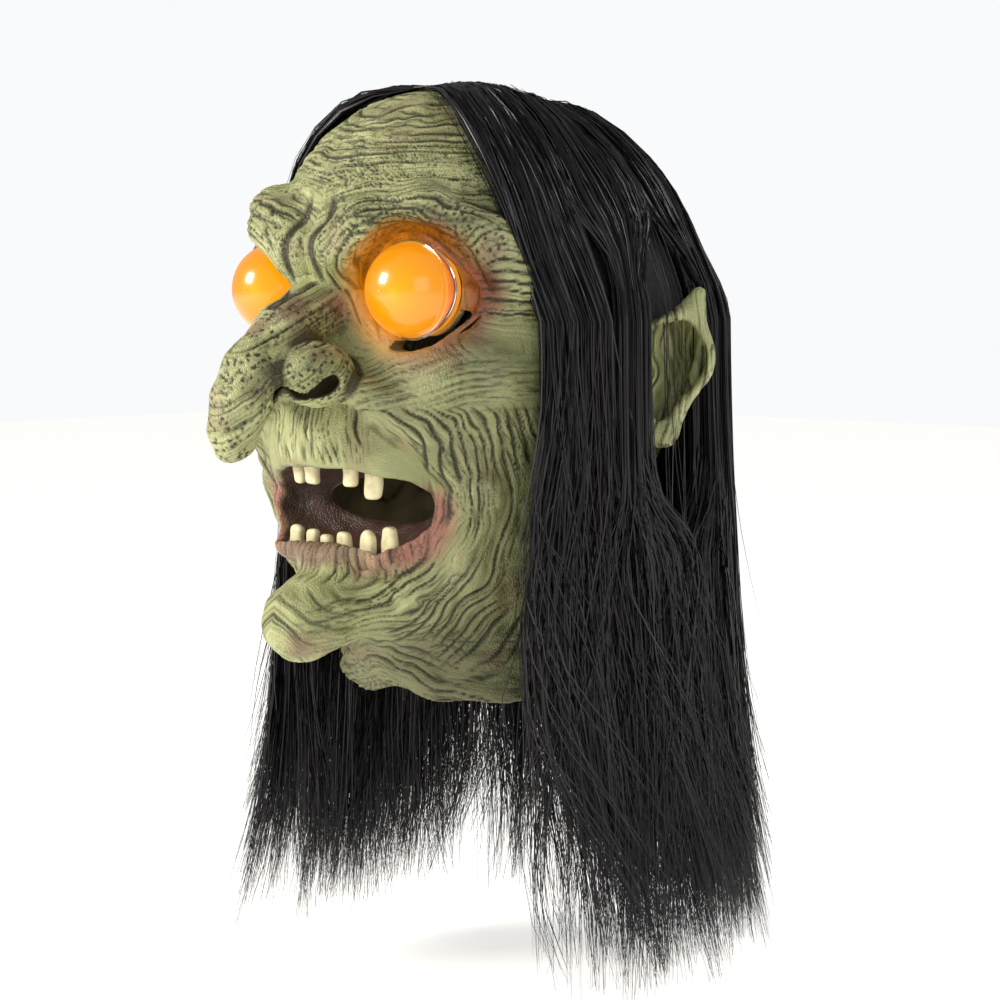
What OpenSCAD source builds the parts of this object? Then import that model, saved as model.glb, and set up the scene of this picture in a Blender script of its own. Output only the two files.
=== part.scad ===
// Full-head latex witch mask with light-up eyes and a sewn-on wig of long straight hair.
// The face looks along -Y, +X is the mask's own left, +Z is up.
// The origin is the centre of the neck opening, in the plane of the skirt's lower edge.

/* [Head] */
// Width of the skull part of the skin, outside
head_w = 172; // [150:1:185]
// Depth of the skull part of the skin, outside
head_d = 204; // [186:1:220]
// Height of the skull ellipsoid, outside
head_h = 204; // [186:1:220]
// Width of the neck skirt, outside
neck_w = 136; // [120:1:150]
// Depth of the neck skirt, outside
neck_d = 140; // [124:1:154]
// Thickness of the latex skin
skin_t = 2.5; // [1.8:0.1:3.5]
// How far the skirt is cut up at the throat
throat_rise = 12; // [0:1:20]

/* [Face] */
// Distance between the two eye centres
eye_spacing = 85; // [80:1:92]
// Length of the nose from its root to its foremost point
nose_l = 64; // [48:1:68]
// Width of the open mouth
mouth_w = 104; // [90:1:112]
// Height of the open mouth
mouth_h = 38; // [32:1:42]
// How far the chin stands ahead of the lower lip
chin_l = 46; // [34:1:50]

/* [Eye units] */
// Diameter of the translucent eye globe
globe_d = 41; // [36:0.5:45]
// Wall of the eye globe
globe_t = 1.2; // [0.8:0.1:2]
// Diameter of the barrel that passes through the latex
barrel_d = 25; // [20:0.5:27]
// Diameter of the flange behind the latex
flange_d = 34; // [30:0.5:38]
// Diameter of the LED
led_d = 5; // [3:0.5:8]
// Diameter of the LED board
board_d = 26; // [24:0.5:30]
// Height of the viewing slot under each eye
slot_h = 6.5; // [5:0.5:8]
// Length of the viewing slot under each eye
slot_l = 32; // [24:1:36]

/* [Ears] */
// Height of an ear
ear_h = 74; // [60:1:84]
// How far an ear stands out from the head
ear_l = 23; // [18:1:32]
// Thickness of the ear casting
ear_t = 2.2; // [1.5:0.1:3]

/* [Hair] */
// Thickness of the sewn wig cap
cap_t = 1.2; // [0.8:0.1:2]
// Thickness of the hair over the crown
crown_hair_t = 8; // [6:0.5:14]
// Thickness of the hanging hair
fall_t = 11; // [9:0.5:16]
// How far the tips of the hair spread outwards
fall_flare = 15; // [8:1:26]
// How far the hair hangs below the skirt
hair_drop = 130; // [60:1:180]
// Width of the stitched parting tape
parting_w = 8; // [5:0.5:12]

/* [Battery case] */
// Width of the battery case
case_w = 46; // [42:1:50]
// Height of the battery case
case_h = 30; // [26:1:36]
// Depth of the battery case without its cover
case_d = 10; // [9:0.5:13]
// Wall of the battery case
case_t = 1.5; // [1:0.1:2]
// Thickness of the cover
cover_t = 1.6; // [1.2:0.1:2.4]
// Diameter of a button cell
cell_d = 20; // [16:0.5:21]
// Thickness of a button cell
cell_t = 3.2; // [2:0.1:3.4]
// Diameter of the twin lead
lead_d = 2.2; // [1.6:0.1:3]
// Travel of the switch
switch_travel = 3; // [2:0.5:4]

/* [Hidden] */

// Smoothness of the cast forms and of the small round parts
form_fn = 20;
part_fn = 48;
// Far enough to cut right through the mask
far = 400;

// Skull and neck
skull_c = [0, 3, 168];
skull_r = [head_w / 2, head_d / 2, head_h / 2];
// The forehead is fuller than the skull behind it
forehead_c = [0, -28, skull_c.z + 34];
forehead_r = [head_w * 0.42, head_d * 0.4, 74];
neck_r = [neck_w / 2, neck_d / 2];
neck_top = 108;

// Eyes: a pocket in the skin holds each globe
globe_r = globe_d / 2;
eye_c = [eye_spacing / 2, -93, 186];
pocket_gap = 2;
pocket_r = globe_r + pocket_gap;
globe_back = globe_r * 0.79;
barrel_r = barrel_d / 2;
barrel_fit = 0.2;
flange_r = flange_d / 2;
flange_t = 2;
wall_hole_r = barrel_r + barrel_fit;
flange_y = sqrt(pow(pocket_r + skin_t, 2) - pow(wall_hole_r, 2));
barrel_wall = 1.6;
led_r = led_d / 2;
led_l = 8.6;
led_rim_t = 1;
led_rim_w = 0.4;
led_leg = 0.5;
led_leg_pitch = 2.54;
board_r = board_d / 2;
board_t = 1.6;
slot_x = eye_c.x + 6;
slot_z = eye_c.z - pocket_r + slot_h / 2 - 4;

// Nose: spine points and radii from root to tip
nose_root = [0, -98, 184];
nose_spine = [
    [nose_root, 13],
    [nose_root + nose_l * [0, -0.22, -0.12], 14],
    [nose_root + nose_l * [0, -0.46, -0.28], 14.5],
    [nose_root + nose_l * [0, -0.74, -0.52], 14],
    [nose_root + nose_l * [0, -0.86, -0.71], 13],
    [nose_root + nose_l * [0, -0.93, -0.97], 8.5],
];
nostril_r = 4;
nostril_l = 12;
nostril_c = [0, -134, 144.5];

// Mouth, lower lip and chin
mouth_c = [0, -102, 92.5];
mouth_r = [mouth_w / 2, 38, mouth_h / 2];
mouth_hole = [mouth_w * 0.66, mouth_h * 0.55];
lip_y = -73;
chin_c = [0, lip_y - chin_l, 43];
chin_r = 17.5;

// Ears: the root lies on the side of the skull
ear_c = [head_w / 2 - 4, 16, 150];
ear_root_k = 0.42;

// Hair
fall_gap = 3;
fall_top = skull_c.z + 4;
body_gap = 0.4;
hairline_y = -47;
cap_edge_z = 118;
cap_slope = 0.55;
fall_c = [0, 8];
fall_in = [skull_r.x + fall_gap, skull_r.y + fall_gap];
ear_zone_y = [ear_c.y - 14, ear_c.y + 36];
ear_zone_top = ear_c.z + ear_h * 0.62;
ear_zone_bottom = ear_c.z - ear_h * 0.62;
fall_steps = 8;
fall_levels = 6;

// Battery case: its back corners touch the inside of the nape
nape_in = neck_r - [skin_t, skin_t];
case_back = floor(nape_in.y * sqrt(1 - pow(case_w / 2 / nape_in.x, 2)) * 10) / 10 - 0.2;
case_front = case_back - case_d;
case_z = [31, 31 + case_h];
case_mid_z = (case_z[0] + case_z[1]) / 2;
cell_r = cell_d / 2;
cell_count = 2;
contact_t = 0.4;
cell_x = -case_w / 2 + case_t + cell_r + 2.5;
cells_front = case_back - case_t - contact_t - cell_count * cell_t;
lip_h = 1.4;
lip_w = 1.2;
fit = 0.2;
cover_front = case_front - body_gap / 2 - cover_t;
screw_r = 1;
screw_fit = 0.08;
screw_head_r = 2;
screw_head_t = 0.9;
screw_l = 6;
boss_r = 2.8;
boss_x = case_w / 2 - case_t - boss_r;
boss_z = case_z[1] - case_t - boss_r;
knob_size = [3, 2.4];
knob_out = 2.2;
switch_size = [9, 5, 4.4];
switch_x = case_w / 2 - case_t - switch_size.x / 2 - 3;
switch_y = case_back - case_t - switch_size.y / 2 - 1.5;
lead_r = lead_d / 2;
lead_in = [case_w / 2, case_back - case_d / 2, case_mid_z];
lead_sides = 8;
lead_step = 5.5;
// Route of the left lead from its board round the temple to the case
lead_route = [
    [eye_c.x, eye_c.y + flange_y + flange_t + board_t, eye_c.z],
    [eye_c.x, eye_c.y + flange_y + flange_t + board_t + 5, eye_c.z],
    [54, -52, 179],
    [67, -36, 170],
    [73, -12, 154],
    [68, 12, 134],
    [57, 31, 112],
    [46, 42, 86],
    [37, 50, 62],
    [lead_in.x + 6, lead_in.y - 1, lead_in.z + 2],
    [lead_in.x + 3, lead_in.y, lead_in.z],
    [lead_in.x - case_t, lead_in.y, lead_in.z],
];

// A tooth is [x, width, length, depth behind the lips]
upper_tooth_list = [[-24, 8, 11, 4], [-12, 9, 12, 0], [13, 9, 13, 0], [24, 11, 15, 3]];
lower_tooth_list = [[-27, 9, 8, 5], [-13, 8, 9, 1], [-2, 8, 8, 0], [9, 9, 9, 0], [21, 9, 9, 2], [31, 9, 8, 6]];
tooth_t = 6;
tooth_bed = 5;
tooth_y = mouth_c.y + 1;

// Keeps its size, and makes the whole casting one mesh.
module one_mesh() resize([0, 0, 0]) children();

module ellipsoid(c, r, g = 0) translate(c) scale(r + [g, g, g]) sphere(1, $fn = form_fn);

module ball(c, r) translate(c) sphere(r, $fn = form_fn);

module both_sides() {
    children();
    mirror([1, 0, 0]) children();
}

// Copies to the left or the right, for mirrored nodes.
module side(is_left) {
    if (is_left) children();
    else mirror([1, 0, 0]) children();
}

// An eye unit's own axis is +Z, pointing forward out of the face.
module at_eye() translate(eye_c) rotate([90, 0, 0]) children();

// A disc or ring along the Y axis, from y0 to y1.
module rod_y(x, z, r, y0, y1, fn = part_fn)
    translate([x, y1, z]) rotate([90, 0, 0]) cylinder(r = r, h = y1 - y0, $fn = fn);

module skull(g = 0) {
    ellipsoid(skull_c, skull_r, g);
    ellipsoid(forehead_c, forehead_r, g);
}

module neck_form(g)
    translate([0, 0, -far / 4]) scale([neck_r.x + g, neck_r.y + g, 1])
        cylinder(r = 1, h = far / 4 + neck_top + g, $fn = form_fn * 2);

module nose_form(g)
    for (i = [0 : len(nose_spine) - 2])
        hull() {
            ball(nose_spine[i][0], nose_spine[i][1] + g);
            ball(nose_spine[i + 1][0], nose_spine[i + 1][1] + g);
        }

module brow_form(g)
    both_sides() {
        hull() {
            ball([14, -108, 205], 12 + g);
            ball([30, -105, 217], 12 + g);
        }
        hull() {
            ball([30, -105, 217], 12 + g);
            ball([46, -90, 225], 10 + g);
        }
        hull() {
            ball([46, -90, 225], 10 + g);
            ball([63, -66, 214], 10 + g);
        }
    }

// The solid head, grown by g: 0 is the outside of the skin.
module head_form(g) {
    skull(g);
    ellipsoid([0, -42, 126], [72, 70, 90], g);
    ellipsoid([0, -48, 76], [58, 56, 56], g);
    ellipsoid([0, -80, 116], [44, 34, 26], g);
    ellipsoid([0, lip_y + 2, 71], [45, 34, 19], g);
    both_sides() ellipsoid([48, -74, 146], [30, 30, 28], g);
    both_sides() ball([eye_c.x + 11, eye_c.y + 30, eye_c.z], 22 + g);
    both_sides() ball([18, -125, 150.5], 13.5 + g);
    hull() {
        ball(chin_c, chin_r + g);
        ball([0, lip_y + 8, 62], chin_r + 8 + g);
    }
    brow_form(g);
    nose_form(g);
    neck_form(g);
}

// The hollows that the skin is folded into: two eye pockets and the mouth.
module pockets(g) {
    both_sides() ball(eye_c, pocket_r + g);
    ellipsoid(mouth_c, mouth_r, g);
}

module skin_cuts() {
    both_sides() {
        rod_y(eye_c.x, eye_c.z, wall_hole_r, eye_c.y, eye_c.y + far / 8);
        hull() for (dx = [-1, 1])
            rod_y(slot_x + dx * (slot_l - slot_h) / 2, slot_z, slot_h / 2, eye_c.y - 40, eye_c.y + 30, 16);
    }
    hull() for (dy = [-1, 1])
        translate(nostril_c + [0, dy * (nostril_l / 2 - nostril_r), 0])
            rotate([0, 90, 0]) cylinder(r = nostril_r, h = 80, center = true, $fn = 16);
    translate([0, mouth_c.y, mouth_c.z]) rotate([-90, 0, 0])
        scale([mouth_hole.x / 2, mouth_hole.y / 2, 1]) cylinder(r = 1, h = far / 4, $fn = form_fn);
    translate([0, 0, -far / 2]) cube(far, center = true);
    translate([0, -far / 2, 0]) scale([neck_r.x, 1, throat_rise]) rotate([-90, 0, 0])
        cylinder(r = 1, h = far / 2, $fn = form_fn);
}

module latex_skin() color("darkseagreen") one_mesh()
    difference() {
        head_form(0);
        difference() {
            head_form(-skin_t);
            pockets(skin_t);
        }
        pockets(0);
        skin_cuts();
    }

// A shallow pointed cup, open to the front and the outside.
module ear_bowl(g) {
    tip = [ear_l, ear_l * 0.5, ear_h * 0.5];
    hull() {
        ball([0, 0, 0], ear_h * ear_root_k * 0.55 + g);
        ball([ear_l * 0.4, ear_l * 0.35, ear_h * 0.08], ear_h * 0.24 + g);
        ball(tip + [-2, -1, -3], 3.5 + g);
        ball([ear_l * 0.25, ear_l * 0.15, -ear_h * 0.36], 7 + g);
    }
}

module ear() color("darkseagreen") one_mesh()
    difference() {
        translate(ear_c) difference() {
            ear_bowl(0);
            ear_bowl(-ear_t);
            translate([9, -13, 0]) ear_bowl(1);
        }
        head_form(0);
    }

// One tooth, bedded in the gum at its root: dir is 1 for a tooth that points up.
module tooth(t, root_z, dir) {
    y = tooth_y + t[3];
    hull() {
        translate([t[0], y, root_z - dir * tooth_bed]) scale([t[1] / 2, tooth_t / 2, 3]) sphere(1, $fn = 14);
        translate([t[0], y - 1, root_z + dir * (t[2] - 3)]) scale([t[1] / 2.4, tooth_t / 2.6, 3]) sphere(1, $fn = 14);
    }
}

// Height of the mouth pocket's surface above and below its centre.
function gum_rise(x, dy) = mouth_r.z * sqrt(max(0, 1 - pow(x / mouth_r.x, 2) - pow(dy / mouth_r.y, 2)));

module teeth(list, dir) color("wheat") one_mesh()
    difference() {
        for (t = list)
            tooth(t, mouth_c.z - dir * gum_rise(t[0], tooth_y + t[3] - mouth_c.y), dir);
        difference() {
            head_form(0);
            pockets(0);
        }
    }

module eye_globe() color("orange") at_eye() rotate_extrude($fn = part_fn)
    difference() {
        circle(globe_r, $fn = part_fn * 2);
        circle(globe_r - globe_t, $fn = part_fn * 2);
        translate([-far, -far / 2]) square([far, far]);
        translate([0, -globe_back - far]) square([far, far]);
    }

module eye_barrel() color("dimgray") at_eye()
    difference() {
        union() {
            translate([0, 0, -flange_y - flange_t]) cylinder(r = flange_r, h = flange_t, $fn = part_fn);
            translate([0, 0, -flange_y - flange_t])
                cylinder(r = barrel_r, h = flange_y + flange_t - globe_back, $fn = part_fn);
        }
        translate([0, 0, -flange_y - flange_t - 1])
            cylinder(r = barrel_r - barrel_wall, h = flange_y + flange_t - globe_back - barrel_wall + 1, $fn = part_fn);
        translate([0, 0, -globe_back - barrel_wall - 1])
            cylinder(r = led_r + 0.1, h = barrel_wall + 2, $fn = part_fn);
    }

module led() color("white") at_eye() {
    seat = -globe_back - barrel_wall;
    translate([0, 0, seat]) cylinder(r = led_r, h = led_l - led_r, $fn = part_fn);
    translate([0, 0, seat + led_l - led_r]) sphere(led_r, $fn = part_fn);
    translate([0, 0, seat - led_rim_t]) cylinder(r = led_r + led_rim_w, h = led_rim_t, $fn = part_fn);
    for (dx = [-1, 1])
        translate([dx * led_leg_pitch / 2, 0, -flange_y - flange_t - board_t])
            cylinder(r = led_leg / 2, h = seat - led_rim_t + flange_y + flange_t + board_t, $fn = 16);
}

module led_board() color("seagreen") at_eye()
    difference() {
        translate([0, 0, -flange_y - flange_t - board_t]) cylinder(r = board_r, h = board_t, $fn = part_fn);
        for (dx = [-1, 1])
            translate([dx * led_leg_pitch / 2, 0, -flange_y - flange_t - board_t - 1])
                cylinder(r = led_leg / 2, h = board_t + 2, $fn = 16);
    }

// Catmull-Rom point between p[i] and p[i + 1], with t from 0 to 1.
function on_route(p, i, t) =
    let (a = p[max(i - 1, 0)], b = p[i], c = p[i + 1], d = p[min(i + 2, len(p) - 1)])
    0.5 * (2 * b + (c - a) * t + (2 * a - 5 * b + 4 * c - d) * t * t + (3 * b - a - 3 * c + d) * t * t * t);

// The route with its stretches divided into steps of about lead_step.
function smooth_route(p) = concat(
    [for (i = [0 : len(p) - 2])
        let (n = max(1, round(norm(p[i + 1] - p[i]) / lead_step)))
        for (k = [0 : n - 1]) on_route(p, i, k / n)],
    [p[len(p) - 1]]
);

function unit(v) = v / norm(v);

// A round tube along the points p.
module tube(p, r) {
    n = len(p);
    along = [for (i = [0 : n - 1]) unit(p[min(i + 1, n - 1)] - p[max(i - 1, 0)])];
    ring = [for (i = [0 : n - 1])
        let (u = unit(cross(along[i], [0, 0.35, 1])), v = cross(along[i], u))
        for (k = [0 : lead_sides - 1])
            let (a = 360 * k / lead_sides) p[i] + r * (cos(a) * u + sin(a) * v)];
    walls = [for (i = [0 : n - 2]) for (k = [0 : lead_sides - 1])
        let (j = (k + 1) % lead_sides)
        [i * lead_sides + k, (i + 1) * lead_sides + k, (i + 1) * lead_sides + j, i * lead_sides + j]];
    caps = [[for (k = [0 : lead_sides - 1]) k],
            [for (k = [lead_sides - 1 : -1 : 0]) (n - 1) * lead_sides + k]];
    polyhedron(points = ring, faces = concat(walls, caps));
}

module eye_lead() color("black") tube(smooth_route(lead_route), lead_r);

// A box between two corners.
module block(a, b) translate(a) cube(b - a);

module battery_case() color("black")
    difference() {
        union() {
            difference() {
                block([-case_w / 2, case_front, case_z[0]], [case_w / 2, case_back, case_z[1]]);
                block([-case_w / 2 + case_t, case_front - 1, case_z[0] + case_t],
                      [case_w / 2 - case_t, case_back - case_t, case_z[1] - case_t]);
            }
            rod_y(boss_x, boss_z, boss_r, case_front + lip_h, case_back - case_t / 2);
        }
        rod_y(boss_x, boss_z, screw_r + screw_fit, case_front - 1, case_back - case_t);
        for (dx = [-1, 1])
            translate([dx * lead_in.x, lead_in.y, lead_in.z]) rotate([0, 90, 0])
                cylinder(r = lead_r, h = 4 * case_t, center = true, $fn = part_fn);
        block([switch_x - knob_size.x / 2 - switch_travel - fit, switch_y - knob_size.y / 2 - fit, case_z[0] - 1],
              [switch_x + knob_size.x / 2 + fit, switch_y + knob_size.y / 2 + fit, case_z[0] + case_t + 1]);
    }

// Foam tape that fills the curve between the case and the nape.
module case_pad() color("gray") one_mesh()
    intersection() {
        block([-case_w * 0.36, case_back, case_z[0] + 3], [case_w * 0.36, far / 2, case_z[1] - 3]);
        head_form(-skin_t);
    }

module button_cells() color("silver")
    for (i = [0 : cell_count - 1])
        difference() {
            rod_y(cell_x, case_mid_z, cell_r, cells_front + i * cell_t, cells_front + (i + 1) * cell_t);
            difference() {
                rod_y(cell_x, case_mid_z, cell_r + 1, cells_front + i * cell_t - 1, cells_front + i * cell_t + 0.3);
                rod_y(cell_x, case_mid_z, cell_r - 1.2, cells_front + i * cell_t - 2, cells_front + i * cell_t + 1);
            }
        }

module case_contact() color("goldenrod")
    block([cell_x - 7, case_back - case_t - contact_t, case_mid_z - 3],
          [switch_x - switch_size.x / 2 - 2, case_back - case_t, case_mid_z + 3]);

module switch_body() color("silver")
    difference() {
        block([switch_x - switch_size.x / 2 - switch_travel / 2, switch_y - switch_size.y / 2, case_z[0] + case_t],
              [switch_x + switch_size.x / 2 - switch_travel / 2, switch_y + switch_size.y / 2,
               case_z[0] + case_t + switch_size.z]);
        block([switch_x - knob_size.x / 2 - switch_travel - fit, switch_y - knob_size.y / 2 - fit, case_z[0]],
              [switch_x + knob_size.x / 2 + fit, switch_y + knob_size.y / 2 + fit,
               case_z[0] + case_t + switch_size.z - 1]);
    }

module switch_knob() color("ivory")
    difference() {
        block([switch_x - knob_size.x / 2, switch_y - knob_size.y / 2, case_z[0] - knob_out],
              [switch_x + knob_size.x / 2, switch_y + knob_size.y / 2, case_z[0] + case_t + switch_size.z - 1 - fit]);
        for (dx = [-0.8, 0, 0.8])
            translate([switch_x + dx, switch_y, case_z[0] - knob_out]) rotate([0, 45, 0])
                cube([0.4, knob_size.y + 1, 0.4], center = true);
    }

module battery_cover() color("black")
    difference() {
        union() {
            block([-case_w / 2, cover_front, case_z[0]], [case_w / 2, cover_front + cover_t, case_z[1]]);
            difference() {
                block([-case_w / 2 + case_t + fit, cover_front + cover_t / 2, case_z[0] + case_t + fit],
                      [case_w / 2 - case_t - fit, case_front + lip_h - fit, case_z[1] - case_t - fit]);
                block([-case_w / 2 + case_t + fit + lip_w, cover_front, case_z[0] + case_t + fit + lip_w],
                      [case_w / 2 - case_t - fit - lip_w, case_front + lip_h + 1, case_z[1] - case_t - fit - lip_w]);
            }
        }
        rod_y(boss_x, boss_z, screw_r + 0.15, cover_front - 1, case_front + 2 * lip_h);
        rod_y(boss_x, boss_z, screw_head_r + 0.15, cover_front - 1, cover_front + screw_head_t);
    }

module cover_contact() color("goldenrod") {
    leaf_y = cover_front + cover_t;
    block([cell_x - 6, leaf_y, case_mid_z - 3], [cell_x + 6, leaf_y + contact_t, case_mid_z + 3]);
    block([cell_x - 2, leaf_y + contact_t / 2, case_mid_z - 2], [cell_x + 2, cells_front - body_gap / 2, case_mid_z + 2]);
}

module cover_screw() color("silver")
    difference() {
        union() {
            rod_y(boss_x, boss_z, screw_head_r, cover_front, cover_front + screw_head_t);
            rod_y(boss_x, boss_z, screw_r, cover_front + screw_head_t / 2, cover_front + screw_l);
        }
        for (a = [0, 90])
            translate([boss_x, cover_front, boss_z]) rotate([0, a, 0])
                cube([screw_head_r * 1.3, screw_head_t, 0.5], center = true);
    }

// Behind the hairline and above an edge that falls towards the nape.
module cap_zone()
    intersection() {
        translate([-far / 2, hairline_y, 0]) cube(far);
        translate([0, 0, cap_edge_z + 62]) rotate([-atan(cap_slope), 0, 0])
            translate([-far / 2, -far / 2, 0]) cube(far);
    }

module ear_zone(grow = 0)
    both_sides() block([head_w / 4, ear_zone_y[0] - grow, 0], [far / 2, ear_zone_y[1] + grow, ear_zone_top]);

module wig_cap() color("black") one_mesh()
    difference() {
        intersection() {
            skull(cap_t);
            cap_zone();
        }
        head_form(0);
        ear_zone();
    }

// The band over the skull between two depths, cut to a strip along the parting.
module parting_zone(g0, g1)
    intersection() {
        difference() {
            skull(g1);
            skull(g0);
        }
        block([-parting_w / 2, hairline_y, skull_c.z], [parting_w / 2, skull_r.y / 2, far]);
    }

module parting_tape() color("black") one_mesh() parting_zone(cap_t, cap_t + 1);

module crown_hair() color("black") one_mesh()
    difference() {
        intersection() {
            skull(crown_hair_t);
            block([body_gap / 2, hairline_y, fall_top + body_gap], [far, far, far]);
        }
        skull(cap_t);
        ear_zone(1);
        parting_zone(cap_t, cap_t + 1);
        head_form(0);
    }

// Spread of the hanging hair at a level, from 0 at the top to 1 at the tips.
function spread(u) = fall_flare * pow(u, 1.6);

// Angle round the fall's axis at which the ellipse r has the depth y.
function angle_at(r, y) = asin(max(-1, (y - fall_c.y) / r.y));

// One level of a fall: the outer arc one way, then the inner arc back.
function fall_ring(a0, a1, n, u) =
    let (z = fall_top - u * (fall_top + hair_drop), g = [spread(u), spread(u)])
    [for (layer = [0, 1], i = [0 : n])
        let (a = layer == 0 ? a0 + (a1 - a0) * i / n : a1 - (a1 - a0) * i / n,
             r = fall_in + g + (layer == 0 ? [fall_t, fall_t] : [0, 0]))
        [fall_c.x + r.x * cos(a), fall_c.y + r.y * sin(a), z]];

// Hanging hair between two angles, as a loft of its levels.
module fall(a0, a1, n) {
    m = 2 * n + 2;
    points = [for (k = [0 : fall_levels]) for (p = fall_ring(a0, a1, n, k / fall_levels)) p];
    walls = [for (k = [0 : fall_levels - 1]) for (i = [0 : m - 1])
        let (j = (i + 1) % m)
        each [[k * m + i, k * m + j, (k + 1) * m + j], [k * m + i, (k + 1) * m + j, (k + 1) * m + i]]];
    top = [for (i = [0 : n - 1]) each [[i, m - 1 - i, i + 1], [i + 1, m - 1 - i, m - 2 - i]]];
    last = fall_levels * m;
    bottom = [for (t = top) [last + t[2], last + t[1], last + t[0]]];
    polyhedron(points = points, faces = concat(walls, top, bottom));
}

ear_angles = [for (y = ear_zone_y) angle_at(fall_in + [fall_t, fall_t], y)];

module side_hair() color("black") one_mesh()
    difference() {
        fall(angle_at(fall_in, hairline_y), ear_angles[1], 2 * fall_steps);
        block([0, ear_zone_y[0], ear_zone_bottom], [far, far, far]);
    }

module back_hair() color("black") one_mesh()
    fall(ear_angles[1] + 0.5, 179.5 - ear_angles[1], 3 * fall_steps);

latex_skin();
side(true) ear();  // left_ear
side(false) ear();  // right_ear
teeth(upper_tooth_list, -1);  // upper_teeth
teeth(lower_tooth_list, 1);  // lower_teeth
side(true) eye_globe();  // left_eye_globe
side(false) eye_globe();  // right_eye_globe
side(true) eye_barrel();  // left_eye_barrel
side(false) eye_barrel();  // right_eye_barrel
side(true) led();  // left_led
side(false) led();  // right_led
side(true) led_board();  // left_led_board
side(false) led_board();  // right_led_board
side(true) eye_lead();  // left_eye_lead
side(false) eye_lead();  // right_eye_lead
battery_case();
case_pad();
button_cells();
case_contact();
switch_body();
switch_knob();
battery_cover();
cover_contact();
cover_screw();
wig_cap();
parting_tape();
side(true) crown_hair();  // left_crown_hair
side(false) crown_hair();  // right_crown_hair
side(true) side_hair();  // left_side_hair
side(false) side_hair();  // right_side_hair
back_hair();
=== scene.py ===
"""A witch mask of painted latex with lit globe eyes and a long straight wig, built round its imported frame."""

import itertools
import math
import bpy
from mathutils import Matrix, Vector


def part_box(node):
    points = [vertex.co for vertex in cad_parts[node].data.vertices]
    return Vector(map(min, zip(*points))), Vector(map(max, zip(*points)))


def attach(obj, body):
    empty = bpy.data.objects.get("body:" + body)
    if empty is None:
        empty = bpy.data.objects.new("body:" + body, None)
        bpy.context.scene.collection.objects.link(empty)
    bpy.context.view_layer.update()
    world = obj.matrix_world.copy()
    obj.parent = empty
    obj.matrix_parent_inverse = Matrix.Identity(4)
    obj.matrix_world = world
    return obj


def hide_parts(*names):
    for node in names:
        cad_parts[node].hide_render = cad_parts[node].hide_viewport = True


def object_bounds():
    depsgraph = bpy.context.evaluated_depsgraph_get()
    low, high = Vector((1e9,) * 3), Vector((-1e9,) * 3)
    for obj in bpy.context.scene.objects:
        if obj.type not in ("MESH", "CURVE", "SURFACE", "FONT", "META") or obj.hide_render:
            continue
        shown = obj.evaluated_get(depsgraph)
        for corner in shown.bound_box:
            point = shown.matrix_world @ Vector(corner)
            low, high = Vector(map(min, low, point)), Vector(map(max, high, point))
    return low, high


bl_info = {
    "name": "Latex Witch Mask",
    "version": (1, 0, 0),
    "blender": (4, 5, 0),
    "location": "View3D > Sidebar > Witch Mask",
    "description": "Builds the casting, eyes, teeth, ears and wig of a latex witch mask",
    "category": "Object",
}

import bpy
import numpy as np
from bpy.props import FloatProperty, FloatVectorProperty, IntProperty, PointerProperty
from mathutils import Vector

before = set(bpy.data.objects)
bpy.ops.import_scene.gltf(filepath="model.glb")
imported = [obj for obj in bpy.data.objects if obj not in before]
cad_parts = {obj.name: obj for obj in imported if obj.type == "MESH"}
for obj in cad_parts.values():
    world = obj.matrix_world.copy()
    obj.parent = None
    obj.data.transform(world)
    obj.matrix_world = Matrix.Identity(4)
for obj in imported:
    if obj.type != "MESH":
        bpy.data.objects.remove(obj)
CAD_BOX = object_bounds()
MM = 0.001


def box_mm(node):
    """A node's lowest and highest corners, in millimetres."""
    low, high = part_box(node)
    return np.array(low) / MM, np.array(high) / MM


# A globe's front is round, so half its width is its radius.
GLOBE_LOW, GLOBE_HIGH = box_mm("left_eye_globe")
GLOBE_R = (GLOBE_HIGH[0] - GLOBE_LOW[0]) / 2
EYE = (GLOBE_LOW + GLOBE_HIGH) / 2
EYE[1] = GLOBE_LOW[1] + GLOBE_R
HAIR_LOW, HAIR_HIGH = box_mm("back_hair")


# ---------------------------------------------------------------- settings


def length_property(name, description, value):
    """A length that the user can change, given in millimetres."""
    return FloatProperty(name=name, description=description, default=value * MM, unit="LENGTH")


class MASK_PG_sizes(bpy.types.PropertyGroup):
    """Sizes of the casting and of the wig."""

    skin: length_property("Latex thickness", "Wall of the cast skin", 2.5)
    voxel: length_property("Face spacing", "Distance between the points of the face", 1.05)
    wrinkle: length_property("Wrinkle depth", "Depth of the deepest folds of the face", 1.6)
    strand: length_property("Strand width", "Width of one ribbon of wig fibre", 0.52)
    strands: IntProperty(
        name="Strands a section", description="Ribbons of fibre in each section of the wig", default=4200
    )


def colour_property(name, description, value):
    """A colour that the user can change, given as an sRGB hex value."""
    return FloatVectorProperty(
        name=name, description=description, subtype="COLOR", size=4, min=0, max=1, default=linear(value)
    )


def linear(value):
    """An sRGB hex colour as linear red, green, blue and an alpha of one."""
    parts = [int(value[i : i + 2], 16) / 255 for i in (1, 3, 5)]
    return tuple(c / 12.92 if c <= 0.04045 else ((c + 0.055) / 1.055) ** 2.4 for c in parts) + (1.0,)


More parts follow.
